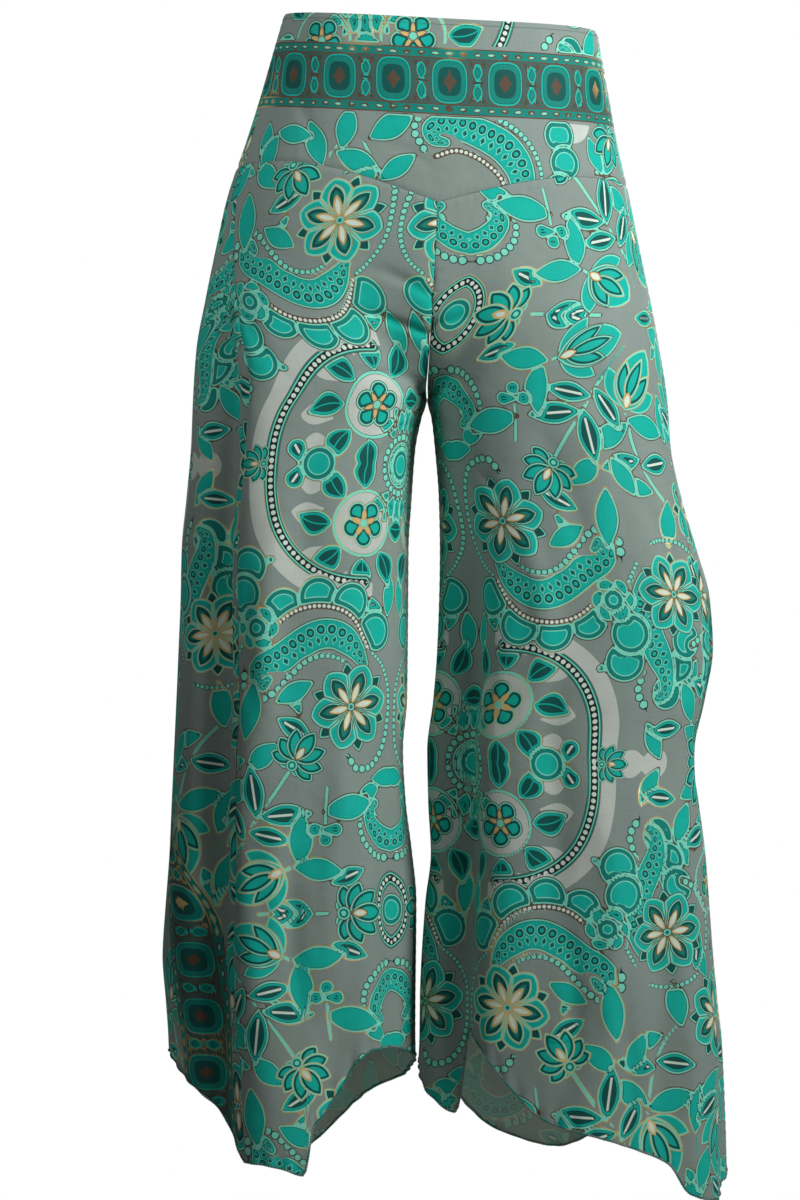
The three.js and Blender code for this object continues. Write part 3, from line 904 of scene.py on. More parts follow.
MOTIFS = {
    "leaf": lambda brush, *size: brush.blade(*size),
    "slit": lambda brush, *size: brush.blade(*size, SLIT),
    "drop": lambda brush, *size: brush.drop(*size, SLIT),
    "ring": lambda brush, *size: brush.disc(*size, RINGED),
    "moon": lambda brush, *size: brush.disc(*size, ink="pale"),
    "star": lambda brush, *size: brush.stamp(STAR, *size),
    "lotus": lambda brush, *size: brush.stamp(LOTUS, *size),
    "bud": lambda brush, *size: brush.stamp(BUD, *size),
    "rosette": rosette,
    "horn": horn,
    "scallops": scallops,
    "stem": row_of(STEM),
    "pearls": row_of(PEARLS),
    "dots": row_of(DOTS),
}


def draw(brush, text):
    """Lays down a list of motifs."""
    for name, size in re.findall("([a-z]+)([^a-z]+)", text):
        MOTIFS[name](brush, *(float(one) for one in size.split()))


print("motifs:", ", ".join(MOTIFS))

# %% [markdown]
# ## The repeat
# The pattern is a quarter tile that is mirrored both ways, the usual way to get a large rich repeat out of
# few drawings. Its middle is a medallion inside a beaded arc. Below that are horns and a star flower, and
# then a branch with lotus flowers and buds. Places are millimetres from the medallion's middle: x outwards, y
# along.

# %% Quarter tile
TILE = (252.0, 386.0)  # width and length of the quarter
ARC = {"x": 39, "reach": (90, 102), "squareness": 2.3}
HALO_WIDTH = 19


def arc_points():
    way = np.radians(np.linspace(0, 90, 16))
    power = 2 / ARC["squareness"]
    (width, height), middle = ARC["reach"], ARC["x"]
    return np.stack([middle + width * np.cos(way) ** power, height * np.sin(way) ** power], -1)


def draw_halo(brush, width):
    """Pale ground in a broad crescent outside the arc, and inside the rosette's ring."""
    here = brush.near(ARC["x"] + 40, 0, 150)
    out = np.maximum(brush.u[here] - ARC["x"], 0)
    power = ARC["squareness"]

    def beyond(reach):
        """0 on an arc, and more outside it."""
        return ((out / reach[0]) ** power + (brush.v[here] / reach[1]) ** power) ** (1 / power) - 1

    reach = ARC["reach"]
    grown = [r + width for r in reach]
    crescent = np.maximum(beyond(grown) * grown[0], -beyond(reach) * reach[0])
    crescent = np.maximum(crescent, 30 - brush.u[here])
    brush.ink["pale"][here] = np.minimum(brush.ink["pale"][here], crescent)
    brush.disc(42, 51, 27, ink="pale")


print("one full repeat is", 2 * TILE[0], "by", 2 * TILE[1], "mm")

# %% [markdown]
# In the middle of the tile, pale petals and dark leaves stand round a rosette, beside a ringed disc with
# pearls. Since the tile is mirrored, there are two rosettes above each other on each side. The beaded arc
# closes them in, with a lotus on its outside.

# %% Medallion


def draw_medallion(brush):
    draw_halo(brush, HALO_WIDTH)
    for x, y, turn in ((92, 70, 32), (95, 38, 6), (74, 92, 58), (92, 14, -4)):
        brush.blade(x - 16, y, turn, 30, 20, ink="pale", fullest=0.55, bend=0.12)
    for x, y, turn in ((1, 29, 84), (8, 28, 58), (16, 24, 34)):
        brush.blade(x, y, turn, 23, 10.5, VEINED, 0.55, 0.1)
    brush.disc(0, 0, 20, PALE)
    draw(brush, "ring 0 0 12")
    brush.row(ring_points(0, 0, 24.5, 24, -100, 100), 6.4, PEARLS)
    for way in (44, 0, -46, 88, 126, 172, -86):
        cos, sin = turns(way)
        brush.blade(42 + 31 * cos, 51 + 31 * sin, way - 14, 29, 18.5, VEINED, 0.45, 0.12)
    draw(brush, "rosette 42 51 20 28")
    for way in (58, -58):
        brush.drop(100, 0, way, 22, 13.5, SLIT)
    draw(brush, "ring 88 0 13")
    brush.row(arc_points(), 5.7, CORD)
    draw(brush, "lotus 138 0 0 16  moon 160 0 12  drop 123 82 26 16 9")


print("the arc has", len(arc_points()), "points")

# %% [markdown]
# Below the arc is a row of scallops, then a band of pale dots and a large horn that curls up at its outer
# end. Under the horn is the first star flower, with pearls round it.

# %% Horns


def draw_horns(brush):
    draw(brush, "scallops 15.5 144 88 149 112 112 124 26 144 82 114 52 119")
    line = ((120, 140), (103, 127), (82, 122), (60, 126), (45, 138), (34, 157))
    brush.ribbon([(x + (76 - x) * 0.16, y + 13, 12.5) for x, y in line], ink="none")
    draw(brush, "dots 4.2 4.2 120 140 103 127 82 122 60 126 45 138 34 157")
    for way in range(0, 360, 60):
        cos, sin = turns(way)
        brush.disc(135 + 11 * cos, 141 + 11 * sin, 6.6, VEINED)
    draw(brush, """
ring 135 141 7.5
horn 124 185 2.5 130 191 4 137 184 6.5 129 174 9 114 167 11 101 158 11.5 89 150 11.5 77 146 11.5 65 147
11 54 153 10 45 161 7.5 37 172 3
pearls 9 4 147 178 146 193 131 202 116 194 104 181 92 170 78 165 63 167 50 176  star 47 209 12 38
pearls 3.9 7.6 30 162 16 174 6 194 5 220 10 244 24 260 42 262 50 252  leaf 22 272 -176 34 14
slit 84 236 -30 34 14  drop 96 212 -60 18 10  leaf 86 188 28 34 14
horn 0 326 8 14 321 8.5 27 309 7 27 298 5 19 293 2.5  pearls 8 5.2 4 341 22 337 38 323 41 304 32 287
""")


print("horns drawn with", SCALE_PITCH, "mm from one scale to the next")

# %% [markdown]
# A branch with leaves fills the lower part: a bud at its end, a lotus that opens downwards, and one that lies
# on the mirror line so that it is seen whole.

# %% Branch


def draw_branch(brush):
    draw(brush, """
stem 3 3 101 262 116 284 134 308 156 340  stem 2.8 2.8 114 352 96 342 82 322
stem 3 3 70 386 96 386 132 386  leaf 142 236 -96 48 18  leaf 138 262 -138 32 16  leaf 152 262 -60 34 14
lotus 98 256 -126 23  slit 131 304 -82 44 17  slit 127 303 -176 42 16  slit 139 316 168 36 14
slit 145 322 -62 36 14  leaf 95 344 -94 42 17  leaf 99 346 174 40 17  leaf 28 291 10 46 19
stem 2.4 2.4 70 278 72 296 73 312
""")
    for way in (0, 90, 180):
        brush.drop(73, 314, way, 13, 8.5, VEINED)
    draw(brush, """
bud 108 348 24 56  slit 84 386 62 26 11  slit 84 386 -22 26 11  slit 100 386 68 22 9
slit 100 386 -16 22 9  lotus 52 386 180 26
""")
    brush.row(ring_points(-10, 386, 30, 12, 180, 400), 5.4, CORD)
    draw(brush, "ring 0 386 12")


print("stems are as wide as", ROW_REACH[STEM], "of a bead")

# %% [markdown]
# The outer part of the tile has a second horn with a star flower in its curve, another branch with a bud, and
# flowers on the mirror line. Single leaves are laid first, under everything else, and fill the ground between
# the large motifs.

# %% Outer part and loose leaves


def draw_side(brush):
    draw(brush, """
scallops 14 186 62 196 84 204 106  star 194 146 -8 36
horn 176 56 2.5 184 62 5 184 76 8 176 92 10.5 168 108 11 163 126 11 163 144 9.5 170 160 6.5 180 164 3.5
pearls 8 4.2 166 48 157 62 160 80 156 96 149 112 147 130 149 152 160 172
stem 3 3 214 214 190 240 176 268 170 300  leaf 206 226 -100 38 16  slit 178 262 -168 36 15
slit 182 256 8 34 15  leaf 170 292 -150 40 17  leaf 172 296 -16 42 17  bud 170 304 66 58
leaf 214 318 -80 40 16  leaf 196 376 -20 34 14  slit 172 386 0 30 12  moon 184 0 13  lotus 252 6 90 30
stem 3 3 252 40 252 64 252 84  leaf 250 46 130 38 16  slit 248 58 158 34 14  leaf 222 36 118 36 15
leaf 214 30 -24 30 13
""")
    brush.row(ring_points(194, 146, 47, 24, -70, 110), (6.4, 4.2), PEARLS)
    draw(brush, """
rosette 252 106 19 27  star 252 220 30 38  stem 3 3 252 262 252 286 252 312  leaf 250 268 136 40 16
slit 249 288 148 36 15  bud 252 300 90 62  leaf 232 332 112 38 15  leaf 238 186 -120 36 14
slit 222 178 -84 34 14
""")


def draw_loose_leaves(brush):
    draw(brush, """
slit 30 116 106 26 13  leaf 8 96 84 34 13  leaf 170 34 -58 34 13  slit 176 28 6 30 13
slit 66 360 -158 30 13  leaf 206 350 64 34 13  leaf 188 234 166 34 13  leaf 52 290 158 36 13
slit 206 60 70 30 13  leaf 14 276 28 34 13  slit 236 360 40 30 13
""")


def draw_tile(brush):
    draw_loose_leaves(brush)
    draw_side(brush)
    draw_medallion(brush)
    draw_horns(brush)
    draw_branch(brush)


def folded(value, half):
    """A place in the mirrored repeat: 0 on each mirror line, half midway."""
    return half - np.abs(half - np.mod(np.abs(value), 2 * half))


print("a place 300 mm from the middle is drawn like one at", folded(300, TILE[0]), "mm")

# %% [markdown]
# ## The border
# A border of darker cloth runs round the yoke, and down the back panels, where the printed width of the cloth
# ended. It is a row of squarish ovals between two narrow strips. It has its own folded place: along, from the
# middle of an oval, and across, from the border's middle.

# %% Border
BORDER_HALF = 29.5
BORDER_EDGE = 1.2  # how far the border's outer line reaches past it
OVAL_PITCH = 48.5


def draw_border(ink, along, across):
    across = np.abs(across)
    edge = BORDER_HALF + BORDER_EDGE
    near = across < BORDER_HALF + 8
    here = np.flatnonzero(near)
    inside = here[across[here] < edge]
    ink["body"][here] = np.maximum(ink["body"][here], edge - across[here])
    ink["inlay"][inside] = FAR
    ink["pale"][inside] = FAR
    ink["row"][inside, 2] = FAR
    ink["band"][here] = across[here]
    brush = Brush(ink, np.where(near, folded(along, OVAL_PITCH / 2), 1e4), across)
    brush.oval(0, 0, 13.6, 17.4, 3.2)
    for x, y, way, length in ((0, -1, 90, 10.5), (-1, 0, 0, 7.5), (0, 0, 50, 6)):
        brush.blade(x, y, way, length, 3.6, ink="inlay")
    brush.blade(24.25, 3, 90, 12, 5, OVAL)
    brush.blade(24.25, 0, 180, 5, 3, GOLDEN)
    brush.blade(17.6, 18.4, -62, 6, 2.2, GOLDEN)
    for x in (0, 12.1, 24.25):
        brush.blade(x - 3.6, 24.3, 0, 7.2, 2.6, PETAL)


print("ovals of the border are", OVAL_PITCH, "mm apart")

# %% [markdown]
# ## Print on the panels
# Each panel was cut from another place on the printed cloth, so each has its own offset: how far the tile's
# middle is from the panel's, and at which height. The legs show the same medallion, a good hand's width
# higher on one than on the other. The yoke was cut from a part with no border in its drawing, and its motifs
# are its own.

# %% Draw the print on every panel
LEG_PRINT = {
    ("left", "front"): {"offset": 106.0, "middle_z": -396.0},
    ("left", "back"): {"offset": -62.0, "middle_z": -396.0},
    ("right", "front"): {"offset": 107.0, "middle_z": -654.0},
    ("right", "back"): {"offset": 62.0, "middle_z": -654.0},
}
YOKE_PRINT = {"front": {"offset": 73.0, "middle_z": 23.0}, "back": {"offset": -60.0, "middle_z": 23.0}}
YOKE_BORDER_DOWN = 55.5

# How far behind the side seam the middle of the border runs.
BORDER_RUN = {
    "left": chart("z behind", "-150 215; -480 205; -700 120; -800 52; -1040 34"),
    "right": chart("z behind", "-150 190; -430 150; -540 74; -620 70; -740 150; -1040 175"),
}


def draw_yoke(brush):
    """The piece of the pattern that the front yoke was cut from: leaves, a long horn and a half flower."""
    brush.oval(0, -122, 260, 46, 12, ink="none")
    brush.ink["pale"][brush.near(0, -122, 260)] = FAR
    for layer in ("row", "flower", "bloom"):
        brush.ink[layer][brush.v < -60, 2] = FAR
    draw(brush, """
stem 2.8 2.8 -124 -166 -108 -134 -90 -112 -78 -84  stem 2.6 2.6 -60 -170 -64 -142 -74 -120
leaf -68 -116 28 42 19  leaf -94 -124 76 36 16  leaf -112 -138 108 40 17  leaf -124 -112 172 34 14
leaf -118 -150 166 38 14  leaf -98 -128 -24 40 17  leaf -170 -98 -96 38 15  leaf -176 -140 60 34 14
leaf -64 -144 -140 32 14  leaf -60 -152 34 36 14  moon 112 -96 22
horn -3 -121 2.5 -13 -118 4.5 -15 -109 7 -2 -105 9.5 16 -109 11 33 -116 12 48 -125 12.5 58 -137 12 63
-150 10.5 64 -163 8.5 62 -178 5
pearls 4 7.6 82 -174 80 -142 68 -118 46 -102 22 -94 -4 -89 -23 -96 -30 -110 -22 -126
dots 4.2 4.2 -12 -133 6 -128 24 -134 40 -146 48 -160 49 -178  scallops 13 99 -112 104 -136 98 -160
lotus 164 -106 -110 24  leaf 138 -142 34 40 16  leaf 146 -150 -8 38 14  leaf 132 -112 -66 32 13
leaf 190 -140 100 40 15
""")


def print_panel(name, points, place):
    u, v = (a.ravel() for a in place)
    ink = clean_ink(u.size)
    kind, where, *face = name.split("_")
    setting = YOKE_PRINT[where] if kind == "yoke" else LEG_PRINT[where, face[0]]
    brush = Brush(ink, folded(u + setting["offset"], TILE[0]), folded(v - setting["middle_z"], TILE[1]))
    draw_tile(brush)
    if name == "yoke_front":
        draw_yoke(Brush(ink, u, v))
    if kind == "yoke":
        down = (points[:1, :, 2] - points[..., 2]).ravel()
        draw_border(ink, u, down - YOKE_BORDER_DOWN)
    elif face[0] == "back":
        start = place[0][:, -1:]
        from_seam = np.abs(place[0] - start).ravel()
        draw_border(ink, v, from_seam - column(BORDER_RUN[where], "z", "behind", v))
    return ink


inks = {}
for name, ((points, angle, hem_z), turn) in PANELS.items():
    inks[name] = print_panel(name, points, places[name])
    print(name, "share of points inside a motif:", round(float((inks[name]["body"] < 0).mean()), 2))

# %% [markdown]
# ## Sheets
# The shells are made from the creased grids, and everything that the print needs is kept on their points. The
# inside of a sheet is coarser, so it takes the values of every second point of the outside.

# %% Make the sheets


def keep_values(mesh, name, outer, grid_shape):
    """Stores a value for every point: the outer grid's own, and inside that of the point in front of it."""
    outer = np.asarray(outer, np.float32)
    width = outer.shape[1] if outer.ndim > 1 else 1
    inner = outer.reshape(*grid_shape, width)[::2, ::2].reshape(-1, width)
    values = np.concatenate([outer.reshape(-1, width), inner])
    layer = mesh.attributes.new(name, "FLOAT_VECTOR" if width == 3 else "FLOAT", "POINT")
    layer.data.foreach_set("vector" if width == 3 else "value", values.ravel())


def new_piece(name, mesh):
    piece = bpy.data.objects.new(name, mesh)
    bpy.context.collection.objects.link(piece)
    return piece


pieces = {}
for name, sheet in sheets.items():
    points = sheet["points"]
    mesh = shell(name + "_cloth", points, sheet["out"], sheet["turn"])
    for ink_name, values in inks[name].items():
        keep_values(mesh, ink_name, values, points.shape[:2])
    flat = np.stack([*(a.ravel() for a in places[name]), np.zeros(points[..., 0].size)], -1)
    keep_values(mesh, "flat_place", flat, points.shape[:2])
    wrong_side = mesh.attributes.new("wrong_side", "FLOAT", "POINT")
    wrong_side.data.foreach_set("value", np.arange(len(mesh.vertices)) >= points[..., 0].size)
    pieces[name] = new_piece(name + "_cloth", mesh)
    print(name, "triangles:", sum(len(p.vertices) - 2 for p in mesh.polygons))

# %% [markdown]
# ## Finish of the cloth
# The cloth is a plain-woven viscose with a soft sheen. The print has a matt grey-green ground, teal motifs
# with a light mint rim, and thin brown outlines that are gold foil in places.

# %% Inks


def colour(red, green, blue):
    """A colour from the usual 0 to 255 numbers, as the shader wants it."""
    parts = [c / 255 for c in (red, green, blue)]
    return (*[c / 12.92 if c < 0.04045 else ((c + 0.055) / 1.055) ** 2.4 for c in parts], 1)


INK = {
    "ground": colour(128, 142, 136),
    "pale ground": colour(184, 192, 184),
    "dark ground": colour(58, 92, 86),
    "mint": colour(120, 212, 188),
    "turquoise": colour(0, 172, 156),
    "teal": colour(0, 126, 114),
    "deep": colour(0, 80, 74),
    "brown": colour(88, 70, 54),
    "gold": colour(204, 178, 116),
    "black": colour(24, 34, 32),
    "bead": colour(206, 222, 208),
    # The wrong side's own paler tone, made lighter still as painted light where the lamps hardly reach the
    # inside.
    "wrong side painted lighter": colour(190, 202, 190),
}
SHARP = 0.22  # mm over which one ink turns into the next
print("inks:", ", ".join(INK))

# %% [markdown]
# A material is a tree of small steps. The helper below adds a step with one call and feeds it, so that a
# finish can be read from top to bottom like a recipe: masks say where an ink goes, and coats are laid one on
# another.

# %% Node helper


class Nodes:
    """Adds nodes to a tree. Every call returns an output socket. An ink may be given by its name."""

    def __init__(self, tree):
        self.nodes, self.links = tree.nodes, tree.links

    def feed(self, socket, value):
        if isinstance(value, bpy.types.NodeSocket):
            self.links.new(value, socket)
        else:
            socket.default_value = INK[value] if isinstance(value, str) else value

    def node(self, kind, *values, **settings):
        """A node with its first inputs fed in order."""
        node = self.nodes.new(kind)
        for label, value in settings.items():
            setattr(node, label, value)
        for socket, value in zip(node.inputs, values):
            self.feed(socket, value)
        return node

    def math(self, operation, *values):
        return self.node("ShaderNodeMath", *values, operation=operation).outputs[0]

    def opposite(self, mask):
        return self.math("SUBTRACT", 1.0, mask)

    def both(self, first, *others):
        for other in others:
            first = self.math("MULTIPLY", first, other)
        return first

    def size(self, x, y):
        """Length of the diagonal."""
        return self.math("SQRT", self.math("ADD", self.both(x, x), self.both(y, y)))

    def mask(self, value, low, high):
        """0 at low and 1 at high. High may be the lower number."""
        return self.node("ShaderNodeMapRange", value, low, high).outputs["Result"]

    def inside(self, value, low, high=None):
        """1 where a distance is above low, and below high if it is given, with a sharp edge."""
        result = self.mask(value, low - SHARP / 2, low + SHARP / 2)
        if high is None:
            return result
        return self.both(result, self.mask(value, high + SHARP / 2, high - SHARP / 2))

    def mix(self, share, under, over, blend="MIX"):
        node = self.nodes.new("ShaderNodeMix")
        node.data_type, node.blend_type = "RGBA", blend
        for index, value in ((0, share), (6, under), (7, over)):
            self.feed(node.inputs[index], value)
        return node.outputs[2]

    def coats(self, under, *inks):
        """Inks laid on top of one another. Each comes after the mask of where it goes."""
        for where, over in inks:
            under = self.mix(where, under, over)
        return under

    def shade(self, under, amount, dark, light):
        """Makes a colour a little darker or lighter by an uneven amount."""
        tone = self.mix(amount, (dark, dark, dark, 1), (light, light, light, 1))
        return self.mix(1.0, under, tone, "MULTIPLY")

    def attribute(self, name, vector=False):
        node = self.node("ShaderNodeAttribute", attribute_name=name)
        return node.outputs["Vector" if vector else "Fac"]

    def split(self, vector):
        return self.node("ShaderNodeSeparateXYZ", vector).outputs

    def noise(self, place, scale, detail=2.0):
        node = self.node("ShaderNodeTexNoise", place)
        node.inputs["Scale"].default_value = scale
        node.inputs["Detail"].default_value = detail
        return node.outputs["Fac"]

    def bump(self, height, distance):
        node = self.nodes.new("ShaderNodeBump")
        node.inputs["Strength"].default_value = 1.0
        node.inputs["Distance"].default_value = distance
        self.links.new(height, node.inputs["Height"])
        return node.outputs[0]


def new_material(name):
    """A material, the means to add nodes to it, its main shader, and the place on the object."""
    material = bpy.data.materials.new(name)
    material.use_nodes = True
    n = Nodes(material.node_tree)
    place = n.nodes.new("ShaderNodeTexCoord").outputs["Object"]
    return material, n, n.nodes["Principled BSDF"], place


print("an edge between inks is", SHARP, "mm wide")

# %% [markdown]
# Cloth and thread are both spun yarn, so one node group makes the yarn for both. It takes a place in
# millimetres and the distance between yarns. It puts out the height of a plain weave, and thick and thin
# places that run along the yarns. A group like this is built once and used with other numbers in each
# material.

# %% Woven yarn, a node group
weave = bpy.data.node_groups.new("woven_yarn", "ShaderNodeTree")
weave.interface.new_socket("Place", in_out="INPUT", socket_type="NodeSocketVector")
weave.interface.new_socket("Yarn pitch", in_out="INPUT", socket_type="NodeSocketFloat").default_value = 0.5
weave.interface.new_socket("Height", in_out="OUTPUT", socket_type="NodeSocketFloat")
weave.interface.new_socket("Slub", in_out="OUTPUT", socket_type="NodeSocketFloat")
n = Nodes(weave)
group_in = n.nodes.new("NodeGroupInput")
group_out = n.nodes.new("NodeGroupOutput")
along_x, along_y, _ = n.split(group_in.outputs["Place"])
turn_rate = n.math("DIVIDE", 2 * math.pi, group_in.outputs["Yarn pitch"])
waves = [n.math("SINE", n.math("MULTIPLY", way, turn_rate)) for way in (along_x, along_y)]
over_under = n.math("MULTIPLY", *waves)


def streaks(*stretch):
    """Thick and thin places, long one way and narrow the other."""
    parts = [n.math("MULTIPLY", way, factor) for way, factor in zip((along_x, along_y), stretch)]
    return n.noise(n.node("ShaderNodeCombineXYZ", *parts).outputs[0], 1.0, 0.0)


slub = n.math("MULTIPLY", n.math("ADD", streaks(1.1, 0.05), streaks(0.05, 1.1)), 0.5)
n.links.new(n.math("ADD", n.math("MULTIPLY", over_under, 0.5), slub), group_out.inputs["Height"])
n.links.new(slub, group_out.inputs["Slub"])


def woven_yarn(n, place, pitch):
    """(height, slub) of the yarn in a material."""
    node = n.nodes.new("ShaderNodeGroup")
    node.node_tree = weave
    n.feed(node.inputs["Place"], place)
    node.inputs["Yarn pitch"].default_value = pitch
    return node.outputs


print("node group:", weave.name, "with", len(weave.nodes), "nodes")

# %% [markdown]
# ## Printed viscose: ground and rows
# The printer lays the ground first, then its pale patches and the border's dark band. Rows of beads lie on
# that. On a row the whole part of the first number counts the beads and the rest is the place within one, so
# that one small drawing is repeated along the row. Brown outlines turn to gold foil in patches, as they do on
# the cloth.

# %% Ground and rows
cloth, n, shader, place = new_material("printed_viscose")
depth = n.math("MULTIPLY", n.attribute("body"), -1.0)
kind_of_row = n.attribute("row_kind")
beads_along, beads_across, row_near = n.split(n.attribute("row", vector=True))
band = n.attribute("band")
foil = n.mask(n.noise(place, 7.0, 1.0), 0.52, 0.60)
line = n.mix(foil, "brown", "gold")


def is_kind(value, number):
    """1 where a value that is a whole number on each motif is this one."""
    return n.math("COMPARE", value, float(number), 0.45)


ground = n.coats(
    "ground",
    (n.inside(n.math("MULTIPLY", n.attribute("pale"), -1.0), 0.0), "pale ground"),
    (n.mask(band, 28.8, 28.6), "dark ground"),
    (n.inside(band, 20.8, 28.0), "teal"),
    (n.math("MAXIMUM", n.inside(band, 19.8, 20.8), n.inside(band, 28.0, 29.2)), line),
)
to_middle = n.math("SUBTRACT", n.math("FRACT", beads_along), 0.5)
beads_off = n.math("ABSOLUTE", beads_across)
bead = n.size(to_middle, beads_across)
cord = n.coats(
    "black",
    (n.mask(beads_off, 0.54, 0.58), "mint"),
    (n.mask(beads_off, 0.72, 0.76), "teal"),
    (n.mask(beads_off, 0.94, 0.97), line),
    (n.mask(bead, 0.38, 0.32), "bead"),
)
pearls = n.mix(n.mask(bead, 0.44, 0.38), "black", "mint")
dots = n.mix(n.mask(bead, 0.40, 0.34), "brown", "bead")
rows = n.mix(n.mask(beads_off, 0.5, 0.54), "mint", line)
for kind, drawn in ((CORD, cord), (PEARLS, pearls), (DOTS, dots)):
    rows = n.mix(is_kind(kind_of_row, kind), rows, drawn)
beside_pearls = n.both(is_kind(kind_of_row, PEARLS), n.opposite(n.mask(bead, 0.54, 0.50)))
near_row = n.mask(row_near, 1.04, 0.98)
paint = n.mix(n.both(near_row, n.opposite(beside_pearls)), ground, rows)
print("ground and rows:", len(n.nodes), "nodes")

# %% [markdown]
# ## Printed viscose: leaves, discs and ovals
# A motif is drawn from its outline inwards: brown line, mint rim, then a filling that depends on its kind. A
# leaf can have a pale slit, a dark heart with a vein, or rings. All of it comes from one number, the depth
# below its edge, so the rings keep an even width however long or bent the motif is.

# %% Fillings
across = n.math("ABSOLUTE", n.attribute("across"))
inlay_depth = n.math("MULTIPLY", n.attribute("inlay"), -1.0)
fill = n.attribute("fill")
vein = n.both(n.inside(depth, 3.0), n.mask(across, 0.7, 0.45))
opening = n.both(n.inside(depth, 4.2), n.mask(across, 1.2, 0.9))
fillings = {
    VEINED: n.coats("turquoise", (n.inside(depth, 3.6), "deep"), (vein, "turquoise")),
    RINGED: n.coats("teal", (n.inside(depth, 4.6, 5.6), "mint"), (n.inside(depth, 5.6), "turquoise")),
    SLIT: n.coats("turquoise", (n.inside(depth, 3.4), "deep"), (opening, "bead")),
    PALE: "mint",
    GOLDEN: line,
    OVAL: n.mix(n.inside(depth, 5.8), "teal", "deep"),
    PETAL: "deep",
}
filled_with = {kind: is_kind(fill, kind) for kind in fillings}
filled = n.coats("turquoise", *[(filled_with[kind], ink) for kind, ink in fillings.items()])
print("fillings:", len(fillings))

# %% [markdown]
# A horn is filled with round scales along one side and pointed ones along the other. Its points keep their
# place along it, counted in scales, and across it, from -1 to 1, so both kinds grow smaller where the horn
# does.

# %% Scales of a horn
to_next = n.math("SUBTRACT", n.math("FRACT", n.math("ADD", beads_along, 0.5)), 0.5)


def scaled_from(middle, half_height):
    return n.math("DIVIDE", n.math("SUBTRACT", beads_across, middle), half_height)


round_scale = n.size(n.math("DIVIDE", to_middle, 0.44), scaled_from(0.34, 0.42))
halves = [n.math("ABSOLUTE", part) for part in (n.math("DIVIDE", to_next, 0.36), scaled_from(-0.42, 0.4))]
pointed_scale = n.math("ADD", *halves)
scales = "turquoise"
for measure, *rings in (
    (round_scale, (1.0, "mint"), (0.84, "deep"), (0.42, "turquoise")),
    (pointed_scale, (1.0, "mint"), (0.74, "teal"), (0.4, "deep")),
):
    for edge, ink in rings:
        scales = n.mix(n.mask(measure, edge + 0.03, edge - 0.03), scales, ink)
in_horn = n.both(is_kind(kind_of_row, SCALES), n.inside(depth, 2.4), near_row)
filled = n.mix(in_horn, filled, scales)

inlaid = n.mix(filled_with[OVAL], n.mix(n.inside(inlay_depth, 0.7), "mint", "deep"), line)
filled = n.mix(n.inside(inlay_depth, 0.0), filled, inlaid)
small = n.math("MAXIMUM", filled_with[GOLDEN], filled_with[PETAL])
rim_width = n.math("SUBTRACT", 1.8, n.math("MULTIPLY", small, 0.8))
rim = n.coats("mint", (filled_with[GOLDEN], "deep"), (filled_with[OVAL], "turquoise"))
rim = n.mix(n.inside(depth, 1.3, 1.9), rim, "deep")
motif = n.mix(n.inside(n.math("SUBTRACT", depth, rim_width), 0.0), rim, filled)
on_outline = n.inside(depth, -0.9)
on_motif = n.inside(depth, 0.0)
paint = n.coats(paint, (on_outline, line), (on_motif, motif))
print("motifs with their rims:", len(n.nodes), "nodes so far")

# %% [markdown]
# ## Printed viscose: flowers
# A flower is the same petal many times, so only one is drawn and the flower's round is folded onto it, like
# paper that is folded before it is cut. A petal is the overlap of two equal circles. That needs one distance
# and not a curve, and its outline is sharp at any size. Petals are laid down from the back of the flower to
# the front.

# %% How a petal is drawn


def flower_place(layer, petals):
    """(place, how near) on a flower, folded into half of one petal, or down its middle if it says 1."""
    along, off, near = n.split(n.attribute(layer, vector=True))
    if petals > 1:
        half = math.pi / petals
        way = n.math("ABSOLUTE", n.math("WRAP", n.math("ARCTAN2", off, along), half, -half))
        far = n.size(along, off)
        along, off = n.both(far, n.math("COSINE", way)), n.both(far, n.math("SINE", way))
    else:
        off = n.math("ABSOLUTE", off)
    return n.node("ShaderNodeCombineXYZ", along, off).outputs[0], near


def vector_value(operation, *vectors):
    """Distance or dot product of two vectors."""
    return n.node("ShaderNodeVectorMath", *vectors, operation=operation).outputs["Value"]


def petal_depth(where, start, turn, length, width):
    """How deep a place is inside a pointed petal, which is the overlap of two equal circles."""
    cos, sin = turns(turn)
    middle = start + length / 2
    petal = n.node("ShaderNodeMapping", where, vector_type="TEXTURE")
    petal.inputs["Location"].default_value = (middle * cos, middle * sin, 0)
    petal.inputs["Rotation"].default_value = (0, 0, math.radians(turn))
    one_side = n.node("ShaderNodeVectorMath", petal.outputs[0], operation="ABSOLUTE").outputs["Vector"]
    radius = (length**2 + width**2) / (4 * width)
    return n.math("SUBTRACT", radius, vector_value("DISTANCE", one_side, (0, width / 2 - radius, 0)))


def disc_depth(where, x, radius):
    return n.math("SUBTRACT", radius, vector_value("DISTANCE", where, (x, 0, 0)))


def in_sector(where, half_angle, gap):
    """Distance from the line between two petals, less half the gap between them."""
    cos, sin = turns(half_angle)
    return n.math("SUBTRACT", vector_value("DOT_PRODUCT", where, (sin, -cos, 0)), gap)


def lay_petal(under, deep_in, *inks):
    """Lays a petal down: a brown or golden outline, and then each ink from its own depth inwards."""
    under = n.mix(n.inside(deep_in, -0.8), under, line)
    return n.coats(under, *[(n.inside(deep_in, start), ink) for start, ink in inks])


def place_flower(layer, kind, near, under, drawn):
    """Lays a whole flower down where it belongs, and nowhere on the border."""
    here = n.both(is_kind(n.attribute(layer + "_kind"), kind), n.mask(near, 1.0, 0.98), off_border)
    return n.mix(here, under, drawn)


off_border = n.mask(band, 29.2, 29.4)
RIMMED = ((0.0, "mint"), (1.3, "turquoise"))
DARK = ((0.0, "mint"), (1.1, "deep"))
CORED = ((0.0, "mint"), (1.2, "deep"), (3.4, "turquoise"))
SEED = ((0.0, "gold"), (1.1, "bead"))
print("a petal can be rimmed, dark, cored or a seed")

